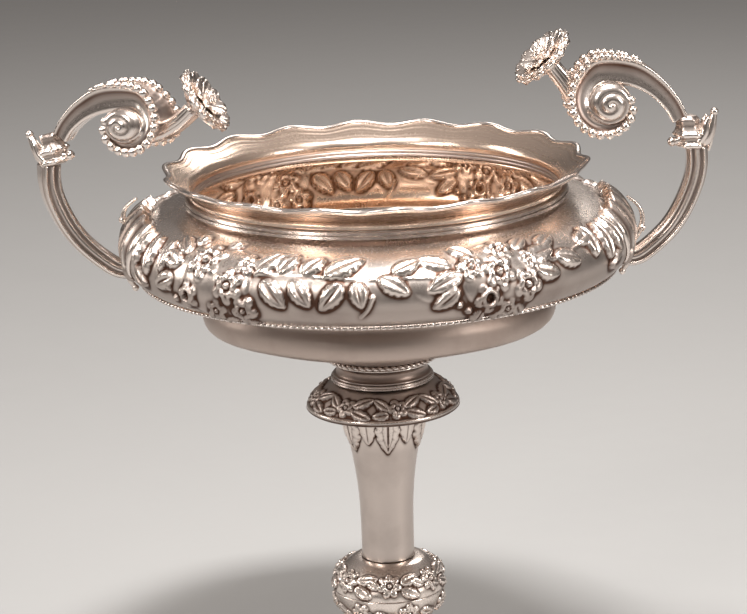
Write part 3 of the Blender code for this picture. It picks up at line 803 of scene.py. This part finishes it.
def build_drip_pan():
    node = "drip_pan"
    high = top(node)
    line = [
        (6.0, high), (15.0, high), (21.6, high - 0.1), (25.6, 166.6), (29.6, 163.9), (33.2, 160.4),
        (36.2, 156.2), (reach(node), base(node) + 0.4),
    ]
    leaves = [
        (7, -8.5, -35, 10, 6, 1.6, 0.1), (7, -6.5, 25, 10, 6, 1.6, -0.1),
        (38, -7.5, 215, 9, 5.6, 1.6, 0.1), (37, -5.5, 165, 8, 5, 1.5, 0.1),
    ]
    chance = random.Random(5)
    relief = Relief(outline(line, MEDIUM), columns=900)
    for k in range(DRIP_PAN_FLOWERS):
        azimuth = k * 360 / DRIP_PAN_FLOWERS + 12
        relief.blossom(azimuth, relief.end - 8.0, 5.2, 5, 2.0, chance.uniform(0, 1))
        relief.spray(azimuth, relief.end, leaves)
    hem = np.exp(-(((relief.arc - relief.end + 1.4) / 0.9) ** 2))
    relief.height = np.maximum(relief.height, 0.8 * hem[:, None])
    # painted shade: the drip pan is darkened all over except its bright hem
    shade = 0.5 * (1 - hem)
    chased("drip_pan_chased", "chased_silver", node, relief, DRIP_PAN_SHEET, INSIDE, shade=shade)


def build_stem():
    node = "stem"
    high, low = top(node), base(node)
    line = [
        (5.0, high), (12.0, high), (16.0, high), (19.6, high - 1.4), (21.0, 162.6), (20.6, 157.0),
        (19.7, 151.7), (17.6, 141.0), (15.9, 131.5), (14.3, 121.2), (13.3, 111.0), (12.8, 100.0),
        (12.7, low + 6), (12.7, low),
    ]
    relief = Relief(outline(line, MEDIUM), columns=540)
    start = float(np.interp(-162.6, -relief.line[:, 1], relief.arc))
    for k in range(STEM_LEAVES):
        azimuth = STEM_LEAF_DEG + k * 360 / STEM_LEAVES
        between = azimuth + 180 / STEM_LEAVES
        relief.leaf(between, start + 3, 90, 20, 10, 1.6)
        relief.leaf(azimuth, start + 4, 90, 23, 13, 2.2)
        relief.leaf(azimuth, start + 6, 90, 18, 6.0, 2.9)
        relief.bump(azimuth, start + 26.4, 1.3, 1.4)
        relief.bump(between, start + 21.6, 1.0, 1.0)
    # painted shade: the stem darkens from just below its leaves downwards
    shade = 0.34 * np.clip((relief.arc - start - 12) / 16, 0.3, 1)
    chased("stem_trumpet", "chased_silver", node, relief, THIN_SHEET, shade=shade)


def build_knop():
    chance = random.Random(21)
    node = "knop_upper"
    high, knop_r = top(node), reach(node)
    line = [
        (12.7, high), (15.6, high - 0.2), (18.6, high - 1.4), (23.6, high - 5.6), (26.6, high - 11.0),
        (knop_r, base(node)),
    ]
    leaves = [(13, -9, -20, 10, 6, 1.6, 0.1), (13, -6, 30, 10, 6, 1.6, -0.1), (40, -7, 200, 8, 5, 1.5, 0.1)]
    relief = Relief(outline(line, MEDIUM), columns=540)
    for k in range(KNOP_FLOWERS):
        azimuth = k * 360 / KNOP_FLOWERS
        relief.blossom(azimuth, relief.end - 8.0, 6.0, 7, 2.2, chance.uniform(0, 1))
        relief.spray(azimuth, relief.end, leaves)
    chased("knop_upper_chased", "chased_silver", node, relief, THIN_SHEET)

    node = "knop_lower"
    line = [(knop_r, top(node)), (26.2, 58.0), (22.8, 52.0), (17.4, 48.2), (12.6, base(node))]
    leaves = [(14, 6, 20, 10, 6, 1.5, 0.1), (36, 8, 160, 9, 5, 1.5, 0.1)]
    relief = Relief(outline(line, MEDIUM), columns=540)
    for k in range(KNOP_FLOWERS):
        azimuth = k * 360 / KNOP_FLOWERS + 20
        relief.blossom(azimuth, 6.5, 5.6, 6, 2.0, chance.uniform(0, 1))
        relief.spray(azimuth, 0, leaves)
    chased("knop_lower_chased", "chased_silver", node, relief, THIN_SHEET)


def build_foot():
    node = "foot_neck"
    high, low = top(node), base(node)
    line = [(13.4, high), (13.4, high - 1.0), (12.0, high - 1.8), (11.2, 43.4), (11.3, 42.2), (14.4, low)]
    section = np.concatenate([outline(line, MEDIUM), [(5.0, low), (5.0, high)]])
    turned_ring("foot_neck_turned", node, section, 180)

    chance = random.Random(8)
    node = "foot_dome"
    high = top(node)
    line = [
        (5.0, high), (12.0, high), (15.4, high - 0.2), (19.0, 35.4), (27.0, 31.0), (38.0, 27.0),
        (47.0, 21.6), (52.0, 15.0), (54.0, base(node)),
    ]
    relief = Relief(outline(line, 0.6), columns=900)
    for k in range(FOOT_FLOWERS):
        azimuth = k * 360 / FOOT_FLOWERS + 24
        relief.blossom(azimuth, 43, 9.0, 9, 3.0, chance.uniform(0, 1))
        relief.rose(azimuth - 14, 49, 5.4, 2.6, chance.uniform(0, 6))
        relief.blossom(azimuth + 14, 48, 5.4, 6, 2.4, chance.uniform(0, 1))
        for turn, arc, heading in ((8, 40, -25), (10, 50, 25), (-8, 40, 205), (-10, 50, 155), (0, 34, -90)):
            relief.leaf(azimuth + turn, arc, heading, 15, 8, 1.9, chance.uniform(-0.15, 0.15))
    fade = np.clip((relief.end - relief.arc) / 3, 0, 1)
    relief.height = soften(relief.height, 1) * fade[:, None]
    chased("foot_dome_chased", "chased_silver", node, relief, SHEET)

    node = "foot_border"
    line = [(52.8, top(node)), (56.0, top(node)), (60.6, 8.4), (64.6, 5.6), (66.4, base(node))]
    relief = Relief(outline(line, FINE), columns=900)
    middle = relief.end / 2
    pitch = 360 / BORDER_LEAVES
    for k in range(BORDER_LEAVES):
        relief.leaf(k * pitch, middle - 5, 90, 12, 8.5, 1.3, lobes=4)
        relief.bump(k * pitch + pitch / 2, middle + 3.6, 1.5, 1.2)
    chased("foot_border_chased", "chased_silver", node, relief, SHEET)

    node = "foot_rim_wire"
    high, outer_r = top(node), reach(node)
    line = [
        (outer_r - 1.2, high), (outer_r - 0.3, high - 0.5), (outer_r, high / 2), (outer_r - 0.4, 0.2),
        (outer_r - 0.6, 0.0),
    ]
    section = np.concatenate([outline(line, MEDIUM), [(outer_r - 4.4, 0.0), (outer_r - 4.4, high)]])
    turned_ring("foot_rim_wire_round", node, section, 360)


# ---------------- handles


class Handle:
    """Places handle drawings in the cup's frame: outward distance, sideways offset, height over the rim."""

    def __init__(self, side):
        self.side = side
        self.sign = SIDES[side]
        self.reach = REACH[side]
        self.lift = LIFT[side]
        self.twist = math.radians(UPPER_TWIST_DEG[side])
        self.volute = VOLUTE_INWARD + VOLUTE_SPREAD[side]

    def make(self, solid, kind, look, slot="handle_silver"):
        solid.make(f"{self.side}_{kind}_{look}", slot, f"{self.side}_{kind}")

    def lower(self, outward, across, up, bend=1.0):
        x = self.sign * (outward + self.reach * bend)
        return np.stack(np.broadcast_arrays(x, across, RIM_Z + up + self.lift), axis=-1)

    def cap(self, outward, across, up):
        """A point of the elbow cap, tilted and twisted about its middle."""
        tilt = math.radians(CAP_TILT_DEG[self.side])
        twist = math.radians(CAP_TWIST_DEG[self.side])
        rise = up - CAP_MIDDLE_UP
        tilted_out = outward * math.cos(tilt) - rise * math.sin(tilt)
        tilted_up = outward * math.sin(tilt) + rise * math.cos(tilt)
        x = tilted_out * math.cos(twist) - across * math.sin(twist)
        y = across * math.cos(twist) + tilted_out * math.sin(twist)
        return self.lower(ELBOW_R + x, y, CAP_MIDDLE_UP + tilted_up)

    def upper(self, inward, across, up):
        """As lower, but measured inwards from the elbow in the upper scroll's own twisted plane."""
        cos, sin = math.cos(self.twist), math.sin(self.twist)
        x = self.sign * (ELBOW_R + self.reach) - self.sign * (inward * cos + across * sin)
        y = across * cos - inward * sin
        return np.stack(np.broadcast_arrays(x, y, RIM_Z + up + self.lift), axis=-1)


def ball(solid, centre, radius, patina_and_shade=0.0, rings=8, steps=12):
    """A small closed bead."""
    tilt = np.linspace(0, math.pi, rings + 1)[1:-1, None]
    turn = full_turn(steps)
    shell = [np.sin(tilt) * np.cos(turn), np.sin(tilt) * np.sin(turn), np.cos(tilt) + 0 * turn]
    shell = np.stack(shell, -1).reshape(-1, 3)
    points = np.concatenate([shell, [(0, 0, 1), (0, 0, -1)]]) * radius + np.asarray(centre)
    faces = [tuple(face) for face in grid_faces(rings - 1, steps, close_rows=False)]
    last = (rings - 2) * steps
    for k in range(steps):
        n = (k + 1) % steps
        faces.append((k, n, len(shell)))
        faces.append((last + n, last + k, len(shell) + 1))
    solid.add(points, faces, patina_and_shade)


def tube(solid, rings, patina_and_shade=0.0):
    """Skins rings of points and closes both ends with a fan."""
    rings = np.asarray(rings)
    count, size = rings.shape[:2]
    points = np.concatenate([rings.reshape(-1, 3), [rings[0].mean(0), rings[-1].mean(0)]])
    faces = [tuple(face) for face in grid_faces(count, size, close_rows=False)]
    last = (count - 1) * size
    for k in range(size):
        n = (k + 1) % size
        faces.append((n, k, count * size))
        faces.append((last + k, last + n, count * size + 1))
    if np.ndim(patina_and_shade):
        patina_and_shade = np.concatenate([np.ravel(patina_and_shade), [0, 0]])
    solid.add(points, faces, patina_and_shade)


def round_tube(solid, path, radii, steps, patina_and_shade=0.0):
    """A round tube along a path in space, with a radius for each of its points."""
    along = np.gradient(path, axis=0)
    along /= np.linalg.norm(along, axis=1)[:, None]
    side = np.cross(along, (0.0, 1.0, 0.0))
    flat = np.linalg.norm(side, axis=1) < 0.2
    side[flat] = np.cross(along[flat], (1.0, 0.0, 0.0))
    side /= np.linalg.norm(side, axis=1)[:, None]
    up = np.cross(side, along)
    angles = full_turn(steps)[:, None]
    ring = side[:, None] * np.cos(angles) + up[:, None] * np.sin(angles)
    tube(solid, path[:, None] + ring * radii[:, None, None], patina_and_shade)


def fluted_section(flutes, depth, points):
    """(out, across, recess) of a squarish rod whose side faces carry rounded reeds."""
    angles = full_turn(points)
    out = np.sign(np.cos(angles)) * np.abs(np.cos(angles)) ** 0.55
    across = np.sign(np.sin(angles)) * np.abs(np.sin(angles)) ** 0.55
    front = np.clip((np.abs(across) - 0.45) / 0.3, 0, 1)
    groove = 1 - np.abs(np.sin(math.pi * flutes * (out + 1) / 2)) ** 1.1
    return out, across * (1 - depth * front * groove), front * groove


def build_lower_scroll(handle):
    """A rod of three reeds, bright on their crowns with painted shade between, that turns with the elbow
    cap.
    """
    points = [
        (115.4, -49.6, 0.0), (120.6, -50.2, 0.0), (126.8, -47.4, 0.1), (137.8, -38.0, 0.4),
        (145.4, -28.0, 0.8), (151.0, -15.8, 1.0), (152.9, -6.6, 1.0), (152.7, 1.2, 1.0),
    ]
    path = smooth_path(points, 14)
    normals = left_normals(path[:, :2])
    out, across, recess = fluted_section(3, 0.42, 72)
    share = np.linspace(0, 1, len(path))
    thick = 4.4 + 0.7 * share
    wide = 4.8 + 0.9 * share
    twist = math.radians(CAP_TWIST_DEG[handle.side]) * share
    rings = []
    for (outward, up, bend), normal, half, breadth, turn in zip(path, normals, thick, wide, twist):
        off = out * half * math.cos(turn) - across * breadth * math.sin(turn)
        side = across * breadth * math.cos(turn) + out * half * math.sin(turn)
        rings.append(handle.lower(outward + normal[0] * off, side, up + normal[1] * off, bend))
    solid = Solid()
    tube(solid, rings, np.broadcast_to(0.95 * recess, (len(path), len(recess))))
    handle.make(solid, "lower_scroll", "fluted")


def horn(solid, handle, points, steps, patina_and_shade=0.0, across=0.0):
    """A round, tapering leaf of the elbow cap through (outward, up, radius) points."""
    outward, up, radii = smooth_path(points, 6).T
    round_tube(solid, handle.cap(outward, across + 0 * outward, up), radii, steps, patina_and_shade)


def build_elbow_cap(handle):
    """A banded collar with a thumb leaf on its outer side and a bud on its inner side."""
    solid = Solid()
    profile = outline([
        (4.6, 1.0), (6.4, 1.6), (7.0, 3.0), (5.8, 4.2), (5.6, 5.6), (7.0, 6.8), (7.4, 8.2), (6.2, 9.6),
        (5.2, 12.0), (5.4, 14.6), (4.2, 16.2),
    ], FINE)
    angles = full_turn(36)
    wave = 1 + 0.08 * np.cos(6 * angles)
    rings = []
    for radius, up in profile:
        lean = -0.16 * (up - 1.0)
        rings.append(handle.cap(lean + radius * wave * np.cos(angles), radius * wave * np.sin(angles), up))
    # painted shade in the narrow waists between the collar's bands
    band_shade = np.clip((6.6 - profile[:, 0]) / 1.4, 0, 1) * 0.6
    tube(solid, rings, np.broadcast_to(band_shade[:, None], (len(profile), len(angles))))

    thumb = [(3.0, 2.2, 3.0), (6.6, 5.4, 3.4), (8.6, 9.6, 2.9), (9.8, 14.0, 2.1), (10.6, 17.4, 1.4)]
    horn(solid, handle, thumb, 14, 0.1)
    ball(solid, handle.cap(10.6, 0.0, 17.6), 2.0)
    horn(solid, handle, [(9.6, 12.0, 1.0), (9.4, 7.0, 1.1), (8.6, 2.0, 1.0), (7.6, -1.0, 0.6)], 10)
    frond = [(2.0, 3.0, 1.8), (5.6, 8.0, 1.9), (6.2, 12.4, 1.6), (7.6, 15.6, 0.9)]
    for across in (-3.6, 3.6):
        horn(solid, handle, frond, 10, across=across)
    horn(solid, handle, [(-3.0, 5.4, 2.6), (-6.0, 4.6, 2.2), (-8.4, 4.0, 1.7)], 12, 0.1)
    ball(solid, handle.cap(-9.2, 0.0, 4.0), 2.3)
    handle.make(solid, "elbow_cap", "leafed")


def upper_scroll_path(handle):
    """(inward, up, half thickness, half width) along the strap, from the elbow into the volute's eye."""
    stretch = handle.volute / VOLUTE_INWARD
    squash = VOLUTE_SQUASH[handle.side]
    height = VOLUTE_UP[handle.side]
    rise = (height + squash * VOLUTE_START_R - ARM_FOOT_UP) / ARM_RISE
    path = [(inward * stretch, ARM_FOOT_UP + up * rise, thick, wide) for inward, up, thick, wide in ARM]
    for k in range(VOLUTE_STEPS + 1):
        share = k / VOLUTE_STEPS
        angle = math.radians(VOLUTE_START_DEG + (VOLUTE_END_DEG - VOLUTE_START_DEG) * share)
        radius = VOLUTE_START_R + (VOLUTE_END_R - VOLUTE_START_R) * share
        thick = STRAP_THICK - STRAP_THINNING * share**0.6
        widening = 0.5 - 0.5 * math.cos(math.pi * min(share * 3.2, 1.0))
        wide = STRAP_WIDE + STRAP_WIDENING * widening - STRAP_NARROWING * max(share - 0.3, 0.0)
        inward = handle.volute - radius * math.cos(angle)
        path.append((inward, height + squash * radius * math.sin(angle), squash * thick, wide))
    return smooth_path(path, 10)


def strap_section():
    """(out, across, darkening) round the strap: channelled outer face, hollow sides, rounded inner rib; the
    darkening is painted shade in the hollows and painted reflection bands along the sides.
    """
    half = [
        (0.74, 0.0, 0.5), (0.76, 0.35, 0.6), (0.84, 0.62, 0.6), (0.97, 0.78, 0.1), (1.0, 0.90, 0.0),
        (0.92, 1.0, 0.0), (0.72, 1.0, 0.1), (0.52, 0.90, 0.9), (0.3, 0.84, 0.75), (0.0, 0.80, 0.5),
        (-0.3, 0.82, 0.2), (-0.58, 0.88, 0.1), (-0.78, 0.90, 0.0), (-0.94, 0.82, 0.0), (-1.0, 0.62, 0.0),
        (-1.0, 0.3, 0.1), (-0.98, 0.0, 0.2),
    ]
    line = smooth_path(half, 2)
    other = line[-2:0:-1] * np.array([1, -1, 1])
    return np.concatenate([line, other])


def coil(solid, handle, face):
    """Fills one face of the volute with a convex coil like a snail's shell."""
    share = np.linspace(0, 1, 26)[:, None]
    angles = full_turn(48)[None, :]
    radius = COIL_R * (1 - share) + 0.15
    ridge = np.abs(np.sin(math.pi * (radius / COIL_PITCH - angles / math.tau))) ** 0.5
    dome = COIL_RISE * np.sin(math.pi / 2 * share) ** 0.9
    rise = np.where(share < 0.04, -COIL_SINK, dome + 0.9 * ridge * np.clip(share * 6, 0, 1))
    up = VOLUTE_UP[handle.side] + VOLUTE_SQUASH[handle.side] * radius * np.sin(angles)
    inward = handle.volute + radius * np.cos(angles)
    # painted shade in the groove between the coil's ridges
    shade = 0.85 * (1 - ridge) * (share > 0.04) * (share < 0.9)
    tube(solid, handle.upper(inward, face * (COIL_WIDE + rise), up), shade)


def build_upper_scroll(handle):
    """The strap, with a row of growing beads along each outer edge and a coil in each face."""
    path = upper_scroll_path(handle)
    normals = left_normals(path[:, :2])
    section = strap_section()
    rings = []
    for (inward, up, thick, wide), normal in zip(path, normals):
        off = section[:, 0] * thick
        rings.append(handle.upper(inward + normal[0] * off, wide * section[:, 1], up + normal[1] * off))
    solid = Solid()
    tube(solid, rings, np.broadcast_to(section[:, 2], (len(path), len(section))))

    edge = path[:, :2] + normals * path[:, 2:3]
    arc = arc_length(edge)
    start = BEADS_START * arc[-1]
    end = arc[int(BEADS_END * len(path))]
    place = start
    while place < end:
        k = int(np.searchsorted(arc, place))
        size = BEAD_R + BEAD_R * min((place - start) / BEAD_GROWTH, 1.0)
        spot = edge[k] + normals[k] * 0.15 * size
        for row in (-1, 1):
            ball(solid, handle.upper(spot[0], row * (path[k][3] - 0.25 * size), spot[1]), size, steps=14)
        place += size * BEAD_PITCH
    for face in (-1, 1):
        coil(solid, handle, face)
    handle.make(solid, "upper_scroll", "beaded")


def build_flower_stem(handle):
    """A tapering round stem with four reeds along it."""
    route = smooth_path(STEM_ROUTE[handle.side], 8)
    inward, up = route.T
    normal_in, normal_up = left_normals(route).T
    share = np.linspace(0, 1, len(route))
    radii = FLOWER_STEM_R * (1.35 - 0.55 * share + 0.25 * share**4)
    solid = Solid()
    round_tube(solid, handle.upper(inward, 0 * inward, up), radii, 28)
    for angle in (50, 130, 230, 310):
        off = 0.5 * math.cos(math.radians(angle)) * radii
        across = 0.5 * math.sin(math.radians(angle)) * radii
        reed_path = handle.upper(inward + normal_in * off, across, up + normal_up * off)
        round_tube(solid, reed_path, radii * 0.6, 14, 0.05)
    handle.make(solid, "flower_stem", "fluted")


def petal(solid, place, bearing, start, length, width, rise, curl, base_up):
    """A cupped petal: a thick closed sheet that starts near the heart and rolls over at its round tip."""
    s = np.linspace(0, 1, 13)[:, None]
    t = np.linspace(-1, 1, 11)[None, :]
    tip = np.sqrt(np.clip(1 - np.clip((s - 0.66) / 0.36, 0, 1) ** 2, 0, 1))
    half = width / 2 * (0.34 + 0.66 * np.sin(math.pi / 2 * np.clip(s / 0.7, 0, 1))) * tip
    radius = start + length * s
    sideways = half * t
    groove = np.exp(-((t / 0.2) ** 2))
    lift = rise * s**1.2 + 1.1 * t**2 * s * (1 - 0.3 * s) - curl * np.clip(s - 0.6, 0, 1) ** 2 * 9
    lift = lift - 0.35 * groove * s
    cos, sin = math.cos(bearing), math.sin(bearing)
    x = radius * cos - sideways * sin
    y = radius * sin + sideways * cos
    half_thick = PETAL_THICK / 2 * np.sqrt(np.clip(1 - t**4, 0.08, 1))
    upper = place(x, y, lift + half_thick + base_up)
    lower = place(x, y, lift - half_thick + base_up)
    # painted shade: darker towards the heart and along the middle groove, with a lightly shaded underside
    shade = np.concatenate([0.5 * (1 - s) ** 1.5 + 0.25 * groove, 0.1 + 0 * s * t], axis=1)
    tube(solid, np.concatenate([upper, lower[:, ::-1]], axis=1), shade)


def build_flower(handle):
    """Three rows of petals on a calyx, and a seeded eye, all facing along the tilt of the flower."""
    tilt = math.radians(FLOWER_TILT_DEG[handle.side])
    turn = math.radians(FLOWER_TURN_DEG[handle.side])
    facing = Vector((math.cos(tilt) * math.cos(turn), -math.sin(turn), math.sin(tilt) * math.cos(turn)))
    rising = Vector((-math.sin(tilt), 0.0, math.cos(tilt)))
    sideways = rising.cross(facing)
    inward, up = STEM_ROUTE[handle.side][-1]
    back = Vector((inward, 0.0, up)) - facing * 0.6

    def place(x, y, height):
        spot = [back[k] + rising[k] * x + sideways[k] * y + facing[k] * height for k in range(3)]
        return handle.upper(*spot)

    solid = Solid()
    calyx = [
        (1.6, 0.0), (4.4, 0.4), (8.4, 2.4), (12.8, 5.0), (14.2, 6.6), (13.8, 8.0), (11.0, 8.0), (1.0, 7.0),
    ]
    angles = full_turn(48)
    rings = []
    for radius, height in calyx:
        leafy = radius * (1 + 0.07 * np.cos(12 * angles))
        rings.append(place(leafy * np.cos(angles), leafy * np.sin(angles), height + 0 * angles))
    tube(solid, rings, 0.05)
    for count, phase, *shape in PETAL_ROWS:
        for bearing in full_turn(count) + phase:
            petal(solid, place, bearing, *shape)
    handle.make(solid, "flower", "layered")

    solid = Solid()
    # painted shade: the eye is darker between its bright seeds
    ball(solid, place(0.0, 0.0, EYE_UP), EYE_R, 0.3, 12, 18)
    for ring, size, count in ((2.9, 1.2, 8), (1.3, 1.1, 4)):
        seed_up = EYE_UP + math.sqrt(EYE_R**2 - ring**2) * 0.9
        for bearing in full_turn(count):
            ball(solid, place(ring * math.cos(bearing), ring * math.sin(bearing), seed_up), size, 0.0, 6, 8)
    handle.make(solid, "flower_eye", "seeded")


def tendril(solid, handle, points, thick, thin, patina_and_shade):
    """A tapering wire in the handle's plane through (radius, height) points; returns its own path."""
    radius, height = smooth_path(points, 8).T
    path = np.stack([handle.sign * radius, 0 * radius, height], axis=1)
    round_tube(solid, path, np.linspace(thick, thin, len(path)), 12, patina_and_shade)
    return path


def build_mount_plate(handle):
    """A ribbed shell of acanthus that stands on the shoulder, with a curl above and a small drop below."""
    line = outline(bowl_outer(), 0.6)
    line = line[line[:, 0] > PLATE_INNER_R]
    normals = left_normals(line)
    if normals[0][1] < 0:
        normals = -normals
    share = np.linspace(0, 1, len(line))[:, None]
    t = np.linspace(-1, 1, 101)[None, :]
    width = math.radians(PLATE_HALF_DEG) * (0.55 + 0.45 * np.sin(math.pi * (0.3 + 0.66 * share)))
    ribs = 0.5 + 0.5 * np.cos(math.tau * t * 3.0)
    scallops = np.clip((share + 0.02 - 0.08 * (1 - ribs)) / 0.05, 0, 1)
    dome = np.sqrt(np.clip(1 - np.abs(t) ** 3, 0, 1))
    lift = 0.5 + scallops * dome * (0.9 + 3.6 * np.clip(1 - share * 1.6, 0, 1) ** 0.8 + 1.7 * ribs**0.6)
    # painted shade between the plate's ribs
    cavity = np.clip(0.9 - 1.5 * ribs, 0, 1) * scallops
    layers = []
    for rise in (lift, 0.2 + 0 * lift):
        radius = line[:, :1] + normals[:, :1] * rise
        height = line[:, 1:] + normals[:, 1:] * rise
        x = handle.sign * radius * np.cos(width * t)
        layers.append(np.stack([x, radius * np.sin(width * t), height + 0 * x], axis=-1))
    solid = Solid()
    rings = np.concatenate([layers[0], layers[1][:, ::-1]], axis=1)
    tube(solid, rings, np.concatenate([cavity, 0 * cavity], axis=1))

    curl = tendril(solid, handle, CURLS[handle.side], 1.7, 0.6, 0.05)
    ball(solid, curl[len(curl) // 3] + np.array([handle.sign * 0.6, 0.0, 0.0]), 1.8)
    drop = tendril(solid, handle, DROP, 3.0, 0.9, 0.2)
    ball(solid, drop[-1], 1.7)
    handle.make(solid, "mount_plate", "acanthus", "chased_silver")


# ---------------- fixings and setting


def dress_fixings():
    """The hidden fixings keep their CAD shape and get turned brass and steel."""
    for part in frame["record"]["subparts"]:
        slot = part["material_slot"]
        if slot.startswith("fixing_"):
            for holder in frame["nodes"][part["node"]].material_slots:
                holder.material = FINISH[slot]


def build_camera():
    data = bpy.data.cameras.new("camera")
    data.lens = CAMERA_LENS
    data.sensor_width = 36.0
    data.clip_start = 0.01
    obj = bpy.data.objects.new("camera", data)
    bpy.context.scene.collection.objects.link(obj)
    rise = math.radians(CAMERA_ELEVATION)
    place = Vector((0, -CAMERA_DISTANCE * math.cos(rise), RIM_Z * MM + CAMERA_DISTANCE * math.sin(rise)))
    turn = Matrix.Rotation(math.radians(CAMERA_YAW), 4, "Z")
    turn @= Matrix.Rotation(math.radians(90 - CAMERA_PITCH), 4, "X")
    turn @= Matrix.Rotation(math.radians(CAMERA_ROLL), 4, "Z")
    obj.matrix_world = Matrix.Translation(place) @ turn
    bpy.context.scene.camera = obj


def build_floor():
    mesh = bpy.data.meshes.new("studio_floor")
    bm = bmesh.new()
    bmesh.ops.create_grid(bm, x_segments=FLOOR_CELLS, y_segments=FLOOR_CELLS, size=FLOOR_HALF)
    bm.to_mesh(mesh)
    bm.free()
    mesh.materials.append(pale_floor())
    floor = bpy.data.objects.new("studio_floor", mesh)
    bpy.context.scene.collection.objects.link(floor)


def build_lights():
    for name, place, size, power, colour in LIGHTS:
        data = bpy.data.lights.new(name, "AREA")
        data.shape = "RECTANGLE"
        data.size, data.size_y = size
        data.energy = power
        data.color = colour
        obj = bpy.data.objects.new(name, data)
        bpy.context.scene.collection.objects.link(obj)
        obj.location = place
        obj.rotation_euler = (Vector(LIGHT_TARGET) - Vector(place)).to_track_quat("-Z", "Y").to_euler()


def build_world():
    """A soft room: dark below the horizon and pale overhead."""
    world = bpy.data.worlds.new("soft_room")
    world.use_nodes = True
    tree = world.node_tree
    background = tree.nodes["Background"]
    background.inputs["Strength"].default_value = 0.7
    place = add_node(tree, "TexCoord")
    split = add_node(tree, "SeparateXYZ")
    half = add_node(tree, "MapRange", From_Min=-1.0)
    ramp = add_node(tree, "ValToRGB")
    for stop, (position, colour) in zip(ramp.color_ramp.elements, (HORIZON, CEILING)):
        stop.position = position
        stop.color = colour
    join(tree, place, "Generated", split, "Vector")
    join(tree, split, "Z", half, "Value")
    join(tree, half, "Result", ramp, "Fac")
    join(tree, ramp, "Color", background, "Color")
    bpy.context.scene.world = world
    bpy.context.scene.view_settings.view_transform = "Standard"


build_camera()
build_floor()
build_lights()
build_world()
build_rim()
build_neck()
build_bowl()
build_edge_wire()
build_pan()
build_rope()
build_collar()
build_drip_pan()
build_stem()
build_knop()
build_foot()
for side in SIDES:
    handle = Handle(side)
    build_mount_plate(handle)
    build_lower_scroll(handle)
    build_elbow_cap(handle)
    build_upper_scroll(handle)
    build_flower_stem(handle)
    build_flower(handle)
dress_fixings()
